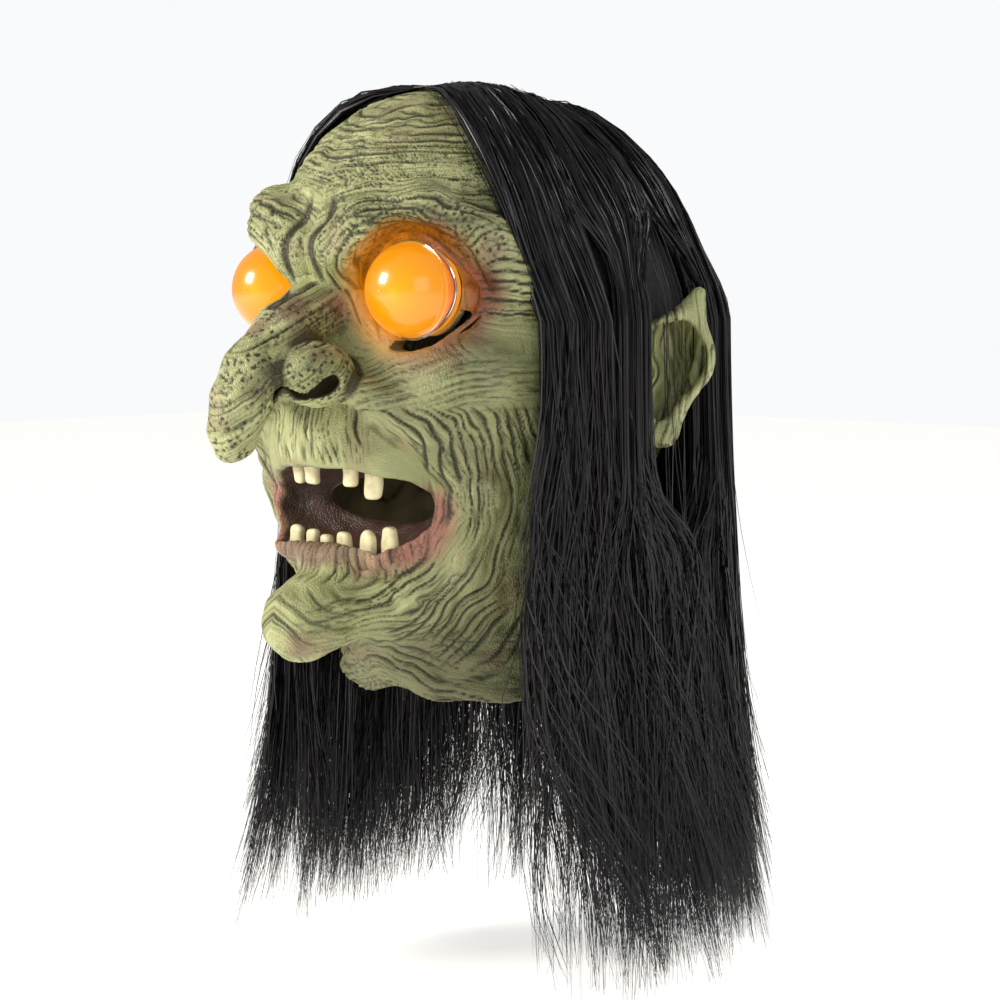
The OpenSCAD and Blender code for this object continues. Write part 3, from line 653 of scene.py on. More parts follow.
def sculpted(p):
    """Crease depth, swelling and pit depth of the outside skin, and the way that its fine lines run."""
    x, y, z = p.T
    ax = np.abs(x)
    drift = noise(x / 19, y / 19, z / 19, 5) - 0.5
    drift2 = noise(x / 6, y / 6, z / 6, 6) - 0.5
    warp = 7 * drift + 1.6 * drift2
    u = 85 * np.arctan2(x, -(y + 10))
    au = np.abs(u)
    a, b = ax - EYE[0], z - EYE[2]
    flat_eye = np.hypot(a, b)
    eye_angle = np.arctan2(b, a)
    mouth_z = z - (MOUTH[2] + 4)
    mouth_r = np.hypot(u / 1.2, mouth_z)
    mouth_angle = np.arctan2(mouth_z, au)
    off_nose = nose_distance(p)
    on_nose = smooth(6, 1, off_nose)
    off_chin = chin_distance(p)

    front = smooth(-25, -50, y)
    high = smooth(226, 250, z)
    forehead = smooth(209, 220, z) * front
    arcs = (1 - high) * np.hypot(a * 0.75, b) + high * (z - 168)
    crow = smooth(14, 24, a) * smooth(40, 18, np.abs(b + 2)) * smooth(25, 30, flat_eye)
    ring = bump_at(flat_eye, 29, 8) * (1 - on_nose) * (1 - crow) * smooth(-30, -12, b)
    under = smooth(-22, -32, b) * smooth(-58, -42, b) * (1 - on_nose) * smooth(18, 28, ax)
    lip = smooth(110, 114, z) * smooth(141, 132, z) * smooth(30, 20, au) * smooth(-94, -102, y)
    lip = lip * (1 - on_nose)
    cheek = smooth(34, 44, mouth_r) * smooth(172, 146, z) * smooth(14, 30, z) * (1 - lip) * (1 - on_nose)
    cheek *= smooth(6, 26, ax) * (1 - smooth(0.2, 0.8, under))
    lower = smooth(79, 76, z) * smooth(58, 63, z) * smooth(-84, -92, y) * smooth(56, 44, au)
    neck = smooth(40, 24, z) * smooth(3, 9, off_chin)
    root = on_nose * smooth(156, 166, z)
    chin = smooth(12, 4, off_chin) * smooth(62, 54, z)

    fields = (
        (forehead, arcs + warp, u, 3.9, 44, 11, 0.85),
        (ring, flat_eye + 0.5 * warp, eye_angle * 30, 3.6, 40, 13, 0.8),
        (crow, eye_angle * 34 + 0.6 * warp, flat_eye, 3.8, 30, 14, 0.9),
        (under, (z - 140) - 0.35 * ax + 0.5 * warp, u, 3.6, 30, 15, 0.45),
        (lip, u + 0.35 * warp, z, 3.6, 26, 16, 0.8),
        (cheek, mouth_r + 1.1 * warp, mouth_angle * 60, 4.1, 40, 17, 0.9),
        (lower, u + 0.3 * warp, z, 3.8, 24, 18, 0.6),
        (neck, z + 0.2 * au + warp, u, 4.8, 46, 19, 0.8),
        (root, z - 0.5 * (y + 110) + 0.3 * warp, u, 3.8, 34, 20, 0.85),
        (on_nose * (1 - root), z - 0.9 * (y + 150) + 0.7 * warp, u, 5.0, 34, 21, 0.3),
        (chin, 0.8 * au + 0.6 * z + warp, y, 5.0, 30, 22, 0.35),
    )
    crease = np.zeros(len(p))
    best, second = np.zeros(len(p)), np.zeros(len(p))
    across_all, along_all = z.copy(), u.copy()
    for mask, across, along, width, length, seed, depth in fields:
        live = mask > 0.02
        found = streaks(across[live], along[live], width, length, seed) * mask[live] * depth
        crease[live] = np.maximum(crease[live], found)
        leads = mask > best
        second = np.where(leads, best, np.maximum(second, mask))
        best = np.where(leads, mask, best)
        across_all, along_all = np.where(leads, across, across_all), np.where(leads, along, along_all)
    swell = 0.6 * neck * np.sin((z + 0.2 * au + 12 * drift) / 2.6) + 1.4 * drift2 * smooth(160, 120, z)
    swell += 0.3 * forehead * np.sin((arcs + 7 * drift) / 1.9)
    swell += 0.4 * cheek * smooth(60, 40, mouth_r) * np.sin((mouth_r + 8 * drift) / 1.75)
    # Upright furrows between the brows, and the sharp crease beside the wing of the nose.
    furrow = bump_at(ax, 8 + 5 * drift, 1.8) * smooth(186, 196, z) * smooth(232, 216, z) * front
    beside = bump_at(off_nose, 2.2, 1.5) * smooth(8, 16, ax) * smooth(138, 146, z) * smooth(176, 166, z)
    crease = np.maximum(crease, np.maximum(0.9 * furrow, 0.9 * beside))
    pored = np.maximum(on_nose * smooth(186, 176, z), 0.9 * smooth(192, 200, z) * smooth(232, 222, z) * front)
    pored = np.maximum(np.maximum(pored, 0.5 * forehead), 0.4 * chin * smooth(40, 30, z))
    patch = noise(x / 9, y / 9, z / 9, 8) + 0.15
    pore = np.maximum(pits(p, 3.0, 1.25, 31), 0.8 * pits(p, 1.9, 0.8, 37)) * pored * smooth(0.3, 0.6, patch)
    return crease, swell, pore, (across_all, along_all, np.clip(best - second, 0, 1))


def nose_distance(p):
    """Distance of each point from the nose."""
    q = (np.abs(p[:, 0]), p[:, 1], p[:, 2])
    d = ellipsoid(q, *WING)
    for (a, ra), (b, rb) in zip(NOSE_SPINE[1:], NOSE_SPINE[2:]):
        d = np.minimum(d, rod(q, a, b, ra, rb))
    return d


def chin_distance(p):
    """Distance of each point from the chin."""
    return np.linalg.norm(p - np.array(CHIN), axis=1) - CHIN_R


def paint_masks(p, crease, pore, outer):
    """The airbrushed areas of the face, its painted shade and the painted glow round the globes, as one value
    from 0 to 1 a point for each.
    """
    x, y, z = p.T
    q = (np.abs(x), y, z)
    ring, above = eye_ring(q)
    patch = noise(x / 12, y / 12, z / 12, 41)
    lid = smooth(14, 3, ring + 5 * (patch - 0.5))
    lid = lid * np.interp(above, (-1, -0.5, 0.2, 1), (0.45, 0.6, 1.0, 1.0))
    mouth = mouth_form(q)
    inside = smooth(2.6, 3.6, -head_form(q))
    gum = inside * smooth(4, 1.5, mouth) * outer
    lips = smooth(14, 5, mouth + 2 * (patch - 0.5)) * smooth(106, 94, z) * (1 - gum)
    lip = lips * smooth(18, 40, q[0])
    chin = smooth(6, -3, chin_distance(p)) * smooth(44, 30, z) * smooth(0.3, 0.6, patch)
    wing = smooth(6, 0, nose_distance(p)) * smooth(150, 162, z) * smooth(0.45, 0.8, patch) * 0.5
    temple = smooth(24, 6, ring) * (0.35 + 0.5 * smooth(56, 66, q[0])) * smooth(0.35, 0.7, patch)
    blush = np.clip(chin + wing + temple + 0.35 * smooth(0.6, 0.85, patch) + 1.1 * (lips - lip), 0, 1)
    wash = np.clip(np.maximum(crease, pore * 1.1), 0, 1)
    ridge = smooth(0.35, 0.02, wash)
    from_globe = np.linalg.norm(np.stack(q, 1) - EYE, axis=1) - GLOBE_R
    inner_side = smooth(14, -16, q[0] - EYE[0])
    # Painted shade: the cheeks, the jaw and the neck are darkened, away from the light on the front of the face.
    shade = smooth(-106, -68, y) * smooth(205, 130, z) * (0.5 + 0.5 * smooth(60, 20, z))
    shade = np.maximum(shade, 0.5 * smooth(22, 50, q[0]) * smooth(192, 162, z))
    # Painted glow round each globe, stronger on the nose side and weaker in the creases: the globe's light on the
    # lids, painted on.
    painted_glow = smooth(15, 0.5, from_globe) * (0.35 + 0.65 * inner_side) * (1 - 0.6 * wash)
    wash = wash * outer
    return dict(crease=wash, ridge=ridge, lid=lid, lip=lip, gum=gum, blush=blush, painted_glow=painted_glow, shade=shade)


def compact(points, quads):
    """The points that the quads use, the quads numbered to them, and the used points' old numbers."""
    used, numbers = np.unique(quads, return_inverse=True)
    return points[used], numbers.reshape(quads.shape), used


# ---------------------------------------------------------------- the casting


def build_face(sizes, colours):
    """The painted outside and the bare inside of the casting, fine in front and coarser under the wig."""
    wall = sizes.skin / MM
    paint, bare = painted_latex(colours), bare_latex()
    parts = (
        ("face", (-92, -168, -2), (92, -20, 288), sizes.voxel / MM),
        ("scalp", (-92, -20 - 2.4, -2), (92, 108, 282), 2.4),
    )
    for name, low, high, step in parts:
        field = sampled(low, high, step, wall)
        points, quads = surface_net(field, np.array(low), step)
        normals = vertex_normals(points, quads)
        q = (np.abs(points[:, 0]), points[:, 1], points[:, 2])
        depth = casting(q, points[:, 0], wall)[0]
        outer = smooth(-wall * 0.55, -wall * 0.15, depth)
        crease, swell, pore, flow = sculpted(points)
        move = (swell - sizes.wrinkle / MM * crease - 0.75 * pore) * outer
        points = points + normals * move[:, None]
        masks = paint_masks(points, crease, pore, outer)
        masks.update(zip(("across", "along", "fine"), flow))
        outside = outer[quads].mean(axis=1) > 0.5
        for side, chosen, material in (("skin", outside, paint), ("lining", ~outside, bare)):
            kept, faces, used = compact(points, quads[chosen])
            piece = put(f"{name}_{side}", kept, faces, material)
            for key, values in masks.items():
                set_attribute(piece, key, values[used])
            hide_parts("latex_skin")


class MASK_OT_casting(bpy.types.Operator):
    """Builds the wrinkled head casting with its eye pockets, mouth, nostrils and viewing slots"""

    bl_idname = "mask.casting"
    bl_label = "Casting"

    def execute(self, context):
        build_face(context.scene.mask_sizes, context.scene.mask_colours)
        return {"FINISHED"}


def ear_form(p, grow):
    """Distance to the solid pointed ear, from its root."""
    root, middle, tip, lobe = (0, 0, 0), (9, 8, 6), (21, 10.5, 34), (6, 3.5, -26.5)
    d = rod(p, root, middle, 16.5, 17.2)
    d = join(d, rod(p, middle, tip, 16.8, 3.2), 6)
    d = join(d, rod(p, root, lobe, 15.5, 7), 5)
    return join(d, rod(p, middle, lobe, 16.5, 7), 5) - grow


def build_ear(name, node, sign, material):
    """A pointed ear: a thin cup with a rolled rim and a ridge inside."""
    low, high = box_mm(node)
    outer_x = high[0] if sign > 0 else low[0]
    root = np.array([outer_x - sign * 27.0, high[1] - 25.8, high[2] - 37.5])
    axes = [np.arange(a, b, 1.0) for a, b in ((-26, 44), (-24, 52), (-44, 46))]
    p = np.meshgrid(*axes, indexing="ij")
    d = ear_form(p, 0)
    opened = ear_form((p[0] - 8.5, p[1] + 12.5, p[2] + 0.5), 0.5)
    shell = carve(np.maximum(d, -(d + 2.4)), opened, 1.5)
    rim = np.hypot(d + 1.6, opened - 0.5) - 2.4
    shell = join(shell, rim, 2.5)
    # Upright ridge inside the bowl, and the small flap before the ear hole.
    shell = join(shell, rod(p, (8, 17, -16), (16, 19, 8), 2.4, 2.4), 4)
    shell = join(shell, rod(p, (16, 19, 8), (18, 16, 22), 2.2, 1.2), 3)
    head = head_form(tuple(np.abs(p[i] + sign * root[i]) if i == 0 else p[i] + root[i] for i in range(3)))
    # Floor of the bowl, over the side of the head.
    shell = np.minimum(shell, np.maximum(d + 1.0, head - 3.2))
    shell = np.maximum(shell, -(head + 2.0))
    points, quads = surface_net(shell.astype(np.float32), np.array([a[0] for a in axes]), 1.0)
    normals = vertex_normals(points, quads)
    warp = 6 * (noise(*(points.T / 11), 71) - 0.5)
    across = points[:, 0] * 0.8 + points[:, 1] * 0.6 + warp
    crease = streaks(across, points[:, 2], 5.0, 40, 73) * 0.6
    bowl = smooth(3, -2, ear_form(tuple((points - np.array([8.5, -12.5, -0.5])).T), 0.5))
    points = points - normals * (0.8 * crease * (1 - 0.4 * bowl))[:, None]
    points[:, 0] *= sign
    if sign < 0:
        quads = quads[:, ::-1]
    piece = put(name, points + root, quads, material)
    at_left = points * np.array([sign, 1, 1]) - np.array([8.5, -12.5, -0.5])
    # Painted shade: the wash is deepened inside the bowl, where shade falls.
    deep = smooth(-6, -13, ear_form(tuple(at_left.T), 0.5))
    masks = {"crease": np.clip(crease + 0.12 * deep, 0, 1), "ridge": smooth(0.4, 0, crease)}
    masks.update(across=across, along=points[:, 2], fine=np.ones(len(points)))
    for key in MASKS:
        set_attribute(piece, key, masks.get(key, np.zeros(len(points))))
    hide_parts(node)


class MASK_OT_ears(bpy.types.Operator):
    """Builds the two pointed cupped ears"""

    bl_idname = "mask.ears"
    bl_label = "Ears"

    def execute(self, context):
        material = bpy.data.materials["painted_cast_latex"]
        build_ear("ear_left", "left_ear", 1, material)
        build_ear("ear_right", "right_ear", -1, material)
        return {"FINISHED"}


def islands(node):
    """The boxes, in millimetres, of the separate solids of a node."""
    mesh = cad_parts[node].data
    parent = list(range(len(mesh.vertices)))

    def top(i):
        while parent[i] != i:
            parent[i] = parent[parent[i]]
            i = parent[i]
        return i

    # Facets don't share vertices, so the ones that lie at the same place are joined first.
    first_at = {}
    for vertex in mesh.vertices:
        place = tuple(round(c / MM, 2) for c in vertex.co)
        parent[top(vertex.index)] = top(first_at.setdefault(place, vertex.index))
    for edge in mesh.edges:
        parent[top(edge.vertices[0])] = top(edge.vertices[1])
    groups = {}
    for vertex in mesh.vertices:
        groups.setdefault(top(vertex.index), []).append(np.array(vertex.co) / MM)
    return np.array(sorted((tuple(np.min(g, 0)), tuple(np.max(g, 0))) for g in groups.values()))


def build_teeth(name, node, direction, colours):
    """Blunt, uneven stubs with chipped ends and stained roots, one for each solid of the node."""
    all_points, all_quads, roots, count = [], [], [], 0
    for number, (low, high) in enumerate(islands(node)):
        root = low[2] if direction > 0 else high[2]
        length = (high[2] - low[2]) * (0.8 + 0.2 * lattice(number, 1, 2, 92))
        centre = (low + high) / 2
        wide, deep = (high[0] - low[0]) / 2, (high[1] - low[1]) / 2
        axes = [
            np.arange(-wide - 1.6, wide + 1.8, 0.55),
            np.arange(-deep - 1.6, deep + 1.8, 0.55),
            np.arange(-6.0, length + 2.4, 0.55),
        ]
        x, y, z = np.meshgrid(*axes, indexing="ij")
        share = np.clip(z / length, 0, 1)
        lean = (lattice(number, 3, 5, 91) - 0.5) * 2.4 * share
        a = np.abs(x - lean) / (wide * (0.98 - 0.13 * share + 0.06 * np.sin(share * 7 + number)))
        b = np.abs(y) / (deep * (1.0 - 0.2 * share))
        side = ((a**2.8 + b**2.8) ** (1 / 2.8) - 1) * 3.0
        chip = 2.2 * (noise(x / 5 + number * 7, y / 5, z * 0, 93) - 0.5)
        d = -join(-side, (length + 4.6) / 2 - chip - np.abs(z - (length - 4.6) / 2), 2.6)
        d = d + 0.5 * (noise(x / 5, y / 5, z / 6 + number * 9, 95) - 0.5)
        points, quads = surface_net(d.astype(np.float32), np.array([v[0] for v in axes]), 0.55)
        roots.append(smooth(2.6, 0.2, points[:, 2]))
        points[:, 2] *= direction
        all_points.append(points + np.array([centre[0], centre[1], root]))
        all_quads.append((quads if direction > 0 else quads[:, ::-1]) + count)
        count += len(points)
    piece = put(name, np.concatenate(all_points), np.concatenate(all_quads), stained_tooth(colours))
    set_attribute(piece, "root", np.concatenate(roots))
    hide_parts(node)


class MASK_OT_teeth(bpy.types.Operator):
    """Builds the upper and lower teeth"""

    bl_idname = "mask.teeth"
    bl_label = "Teeth"

    def execute(self, context):
        build_teeth("teeth_upper", "upper_teeth", -1, context.scene.mask_colours)
        build_teeth("teeth_lower", "lower_teeth", 1, context.scene.mask_colours)
        return {"FINISHED"}


# ---------------------------------------------------------------- eyes and fittings


def ring_mesh(centre, radius, tube, squash, around=72, across=12):
    """Points and quads of a ring that faces forward, thicker towards its outer corner."""
    u = np.linspace(0, 2 * math.pi, around, endpoint=False)
    v = np.linspace(0, 2 * math.pi, across, endpoint=False)
    u, v = (g.ravel() for g in np.meshgrid(u, v, indexing="ij"))
    outward = np.exp(-((np.arctan2(np.sin(u), np.cos(u) * np.sign(centre[0])) / 0.7) ** 2))
    thick = tube * (1 + squash * outward)
    r = radius + (thick - tube) + thick * np.cos(v)
    points = np.stack([r * np.cos(u), thick * np.sin(v) * 0.8 + 1.5 * outward, r * np.sin(u)], 1) + centre
    i = np.arange(around * across).reshape(around, across)
    j, k = np.roll(i, -1, 0), np.roll(i, -1, 1)
    return points, np.stack([i, j, np.roll(j, -1, 1), k], -1).reshape(-1, 4)


class MASK_OT_eyes(bpy.types.Operator):
    """Lights the globes and adds the clear rim that seats each one"""

    bl_idname = "mask.eyes"
    bl_label = "Eyes"

    def execute(self, context):
        colours = context.scene.mask_colours
        clear = clear_acrylic()
        for side, sign, spot in (("left", 1, (0.34, -0.9, -0.05)), ("right", -1, (0.3, -0.93, 0.0))):
            node = f"{side}_eye_globe"
            centre = EYE * np.array([sign, 1, 1])
            globe = lit_globe(colours, f"lit_amber_globe_{side}", centre, spot)
            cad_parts[node].material_slots[0].material = globe
            points, quads = ring_mesh(centre + np.array([0, -1.0, 0]), GLOBE_R + 0.2, 1.0, 1.7)
            rim = put(f"{side}_eye_rim", points, quads, clear)
        return {"FINISHED"}


class MASK_OT_fittings(bpy.types.Operator):
    """Gives the lamp holders, boards, leads and battery case their plastics and metals"""

    bl_idname = "mask.fittings"
    bl_label = "Fittings"

    def execute(self, context):
        finishes = {
            # Spark-eroded black ABS: dull, with an even 0.4 mm grain.
            ("left_eye_barrel", "right_eye_barrel", "battery_case", "battery_cover"): moulded(
                "moulded_black_abs", "#17181A", 0.48, 0.4, second="#232427"
            ),
            # Water-clear amber epoxy lamp body, very smooth.
            ("left_led", "right_led"): moulded("cast_amber_epoxy", "#D98A2B", 0.18, 1.5, bump=0.03),
            # Green solder mask over glass cloth, with the cloth's 0.6 mm weave just showing.
            ("left_led_board", "right_led_board"): moulded(
                "green_solder_mask", "#1F4A2B", 0.35, 0.6, second="#2A5E38"
            ),
            # Extruded soft PVC sleeve with a faint drag texture.
            ("left_eye_lead", "right_eye_lead"): moulded(
                "extruded_black_pvc", "#1B1A1C", 0.42, 0.8, bump=0.1
            ),
            # Nickel-plated pressed steel with rubbing marks.
            ("button_cells", "switch_body", "cover_screw"): moulded(
                "nickel_plated_steel", "#B9BBB8", 0.28, 0.5, metallic=1.0, second="#A3A5A0"
            ),
            # Phosphor bronze strip, rolled and slightly dulled.
            ("case_contact", "cover_contact"): moulded(
                "rolled_phosphor_bronze", "#C09A55", 0.32, 0.5, metallic=1.0, second="#A9833F"
            ),
            # White acetal slider, waxy.
            ("switch_knob",): moulded("moulded_white_acetal", "#DEDCD2", 0.4, 0.7, second="#D3D0C4"),
        }
        for nodes, material in finishes.items():
            for node in nodes:
                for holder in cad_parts[node].material_slots:
                    holder.material = material
        low, high = box_mm("case_pad")
        points, quads = pad_mesh(low, high)
        # Open-cell black foam with cells about 0.8 mm across.
        foam = moulded("open_cell_foam", "#26262A", 0.9, 0.8, bump=1.0, second="#17171A")
        pad = put("nape_pad", points, quads, foam)
        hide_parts("case_pad")
        return {"FINISHED"}


def pad_mesh(low, high):
    """A foam block with soft edges that follows its box."""
    low, high = low + 0.3, high - 0.3
    axes = [np.arange(a - 1.2, b + 1.8, 0.6) for a, b in zip(low, high)]
    p = np.meshgrid(*axes, indexing="ij")
    reach = [np.abs(p[i] - (low[i] + high[i]) / 2) - (high[i] - low[i]) / 2 + 1.4 for i in range(3)]
    # The back face bows with the neck.
    reach[1] = reach[1] + 0.011 * p[0] ** 2 * (p[1] > (low[1] + high[1]) / 2)
    outside = np.sqrt(sum(np.maximum(r, 0) ** 2 for r in reach))
    d = outside + np.minimum(np.maximum(np.maximum(reach[0], reach[1]), reach[2]), 0) - 1.4
    return surface_net(d.astype(np.float32), np.array([a[0] for a in axes]), 0.6)


# ---------------------------------------------------------------- the wig


def scalp_reach(direction, grow):
    """How far along each direction from the skull's centre the scalp lies, grown outwards."""
    reach = np.zeros(len(direction))
    for centre, radii in (SKULL, FOREHEAD):
        r = np.array(radii) + grow
        o = (np.array(SKULL[0]) - np.array(centre)) / r
        d = direction / r
        a, b, c = (d * d).sum(1), (d * o).sum(1), (o * o).sum() - 1
        reach = np.maximum(reach, (-b + np.sqrt(np.maximum(b * b - a * c, 0))) / a)
    return reach


def scalp_points(y, angle, grow):
    """Points on the scalp at a distance from the front and an angle from the top, both sides alike."""
    best = np.zeros(np.broadcast(y, angle).shape)
    for centre, radii in (SKULL, FOREHEAD):
        size = np.sqrt(np.maximum(1 - ((y - centre[1]) / (radii[1] + grow)) ** 2, 1e-4))
        a, c = (radii[0] + grow) * size, (radii[2] + grow) * size
        s, k, o = np.sin(angle) / a, np.cos(angle) / c, (SKULL[0][2] - centre[2]) / c
        inner = np.maximum((k * o) ** 2 - (s * s + k * k) * (o * o - 1), 0)
        best = np.maximum(best, (-k * o + np.sqrt(inner)) / (s * s + k * k))
    return np.stack([best * np.sin(angle), y + 0 * best, SKULL[0][2] + best * np.cos(angle)], -1)


def grid_quads(rows, columns):
    """Quads of a grid of points."""
    i = np.arange(rows * columns).reshape(rows, columns)
    return np.stack([i[:-1, :-1], i[1:, :-1], i[1:, 1:], i[:-1, 1:]], -1).reshape(-1, 4)


class MASK_OT_cap(bpy.types.Operator):
    """Stretches the wig's net cap over the head and sews the parting tape on it"""

    bl_idname = "mask.cap"
    bl_label = "Wig cap"

    def execute(self, context):
        low, high = box_mm("wig_cap")
        y = np.linspace(low[1], high[1] - 4, 56)[:, None]
        share = (y - low[1]) / (high[1] - low[1])
        end = np.arccos(np.clip((low[2] + 42 - 40 * share - SKULL[0][2]) / (104 * np.sqrt(
            np.maximum(1 - ((y - SKULL[0][1]) / 106) ** 2, 0.05))), -1, 0.9))
        angle = np.linspace(-1, 1, 61)[None, :] * end
        points = scalp_points(y, angle, 0.9).reshape(-1, 3)
        cap = put("net_cap", points, grid_quads(56, 61)[:, ::-1], wig_net())
        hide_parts("wig_cap")
        low, high = box_mm("parting_tape")
        y = np.linspace(low[1], high[1], 80)[:, None]
        across = np.linspace(-1, 1, 9)[None, :] * (high[0] - low[0]) / 2
        top = scalp_points(y, across / 100, 1.4)
        top[..., 2] += 0.35 * (np.sin(y * 2.5) > 0.2) * (np.abs(across) > 2.2)
        tape = put("parting_strip", top.reshape(-1, 3), grid_quads(80, 9)[:, ::-1], parting_cloth())
        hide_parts("parting_tape")
        return {"FINISHED"}


SECTIONS = {
    # Section: the angles it falls at, from straight ahead, and the nodes it stands for.
    "left": (59, 120, ("left_crown_hair", "left_side_hair")),
    "right": (-120, -59, ("right_crown_hair", "right_side_hair")),
    "back": (116, 244, ("back_hair",)),
}


def strand_paths(first, last, count, seed):
    """Paths of the strands of one section: rows of points, one row a strand, from root to tip."""
    rng = np.random.default_rng(seed)
    locks = max(count // 30, 8)
    lock_angle = np.radians(rng.uniform(first, last, locks))
    lock_depth = rng.uniform(0.15, 1.0, locks)
    lock = rng.integers(0, locks, count)
    angle0 = np.clip(
        lock_angle[lock] + np.radians(rng.normal(0, 4.5, count)), math.radians(first), math.radians(last)
    )
    angle0 += np.radians(rng.normal(0, 1.2, count))
    depth = np.clip(0.55 * lock_depth[lock] + 0.45 * rng.random(count), 0.02, 1)
    tip_z = HAIR_LOW[2] + rng.gamma(1.5, 15.0, count) + 48 * (rng.random(locks) ** 1.3)[lock]
    length = HAIR_HIGH[2] - tip_z
    side = np.sign(np.sin(angle0))
    turn = np.abs(np.angle(np.exp(1j * angle0)))

    # Over the crown: along the shortest way from the parting to the place where the strand starts to fall.
    crown, fall = 9, 15
    centre = np.array(SKULL[0])
    start_y = np.interp(np.degrees(turn), (50, 105, 150, 180), (-46, 8, 48, 62)) + rng.normal(0, 4, count)
    start_x = side * (1.5 + 2.5 * rng.random(count))
    start = np.stack([start_x, np.clip(start_y, -47, 64), np.full(count, 100.0)], 1)
    start[:, 1] -= centre[1]
    start /= np.linalg.norm(start, axis=1, keepdims=True)
    ring = fall_point(angle0, depth, np.zeros(count), HAIR_HIGH[2])
    stop = ring - centre
    stop /= np.linalg.norm(stop, axis=1, keepdims=True)
    begin = np.where(rng.random(count) < 0.45, 0, rng.random(count) * 0.75)
    s = begin[:, None] + (1 - begin[:, None]) * np.linspace(0, 1, crown + 1)[None, :-1]
    between = np.arccos(np.clip((start * stop).sum(1), -1, 1))[:, None]
    way = (
        np.sin((1 - s) * between)[..., None] * start[:, None] + np.sin(s * between)[..., None] * stop[:, None]
    ) / np.sin(between)[..., None]
    way /= np.linalg.norm(way, axis=2, keepdims=True)
    lift = 1.2 + (0.8 + 7.2 * depth[:, None]) * smooth(0, 0.22, s)
    reach = np.stack([scalp_reach(way[:, i], 0) for i in range(crown)], 1) + lift
    ring_reach = np.linalg.norm(ring - centre, axis=1)[:, None]
    late = smooth(0.7, 1.0, s)
    over = way * (reach * (1 - late) + ring_reach * late)[..., None] + centre

    # Down: each strand closes on its lock's middle, and the lock wanders.
    v = np.linspace(0, 1, fall)[None, :]
    z = HAIR_HIGH[2] - v * length[:, None]
    pull = (0.35 + 0.6 * rng.random(locks))[lock][:, None] * v**0.8
    wander = (noise(v * 2.3 + lock[:, None] * 9.1, lock[:, None] * 3.3 + v * 0, v * 0, seed) - 0.5) * 19
    own = (noise(v * 4.5 + np.arange(count)[:, None] * 7.7, v * 0 + 0.5, v * 0, seed + 1) - 0.5) * 5
    loose = np.where(rng.random(count) < 0.06, 4.0, 1.0)[:, None]
    angle = angle0[:, None] + (lock_angle[lock][:, None] - angle0[:, None]) * pull
    angle = angle + np.radians(wander + own * loose) * smooth(0, 0.6, v)
    flare = v * (noise(lock[:, None] * 5.7 + v, v * 0, v * 0, seed + 2) - 0.45)
    kick = np.where(rng.random(locks) < 0.25, rng.uniform(0.4, 1.0, locks), 0)[lock][:, None] * v**5
    hang = fall_point(angle + 0.12 * kick, np.clip(depth[:, None] + 0.5 * flare, 0, 1.2) + 1.1 * kick, v, z)
    path = np.concatenate([over, hang], 1)
    return round_ears(path, turn, rng), rng


# The hair falls in a ring round a line behind the head's middle: the inner half width and half depth of the ring,
# its thickness, and how far it spreads at the tips.
FALL_Y, FALL_X_HALF, FALL_Y_HALF, FALL_THICK, FALL_SPREAD = 8, 89.4, 105.4, 10.4, 14


def fall_point(angle, depth, v, z):
    """Where a strand that falls at this angle and depth is."""
    out = FALL_THICK * depth + FALL_SPREAD * v**1.6 * (0.55 + 0.45 * np.clip(depth, 0, 1))
    x = (FALL_X_HALF + out) * np.sin(angle)
    y = FALL_Y - (FALL_Y_HALF + out) * np.cos(angle)
    return np.stack([x, y, z + 0 * angle], -1)


def round_ears(path, turn, rng):
    """Parts the strands in front of and behind the ears, by the angle at which each strand falls."""
    middle, half = math.radians(98), math.radians(14)
    off = turn - middle
    share = np.abs(off) / (half * 1.7)
    goal = middle + np.where(off < 0, -1, 1) * half * (1 + 0.7 * share)
    near = smooth(226, 190, path[..., 2]) * smooth(66, 106, path[..., 2])
    near = near * np.where(rng.random(len(turn)) < 0.012, 0.1, 1.0)[:, None] * (share < 1)[:, None]
    angle = np.arctan2(path[..., 0], FALL_Y - path[..., 1])
    push = (goal[:, None] - np.abs(angle)) * near * np.sign(angle)
    c, s = np.cos(push), np.sin(push)
    x, y = path[..., 0], path[..., 1] - FALL_Y
    return np.stack([x * c - y * s, x * s + y * c + FALL_Y, path[..., 2]], -1)


def ribbons(path, width, rng):
    """Flat ribbons along the paths, narrow at the tip, each turned its own way."""
    count, steps = path.shape[:2]
    along = np.gradient(path, axis=1)
    along /= np.maximum(np.linalg.norm(along, axis=2, keepdims=True), 1e-6)
    outward = path - np.array([0, 5, 0])
    outward[..., 2] = np.maximum(path[..., 2] - SKULL[0][2], 0)
    outward /= np.linalg.norm(outward, axis=2, keepdims=True)
    across = np.cross(along, outward)
    across /= np.maximum(np.linalg.norm(across, axis=2, keepdims=True), 1e-6)
    roll = rng.normal(0, 0.8, count)[:, None, None]
    across = across * np.cos(roll) + np.cross(across, along) * np.sin(roll)
    taper = np.interp(np.arange(steps), (0, 1, steps * 0.75, steps - 1), (0.6, 1, 1, 0.25))
    half = across * (taper[None, :] * width / 2 * rng.uniform(0.7, 1.25, count)[:, None])[..., None]
    points = np.stack([path - half, path + half], 2).reshape(-1, 3)
    first = (np.arange(count) * steps * 2)[:, None] + np.arange(steps - 1) * 2
    quads = np.stack([first, first + 1, first + 3, first + 2], -1).reshape(-1, 4)
    return points, quads


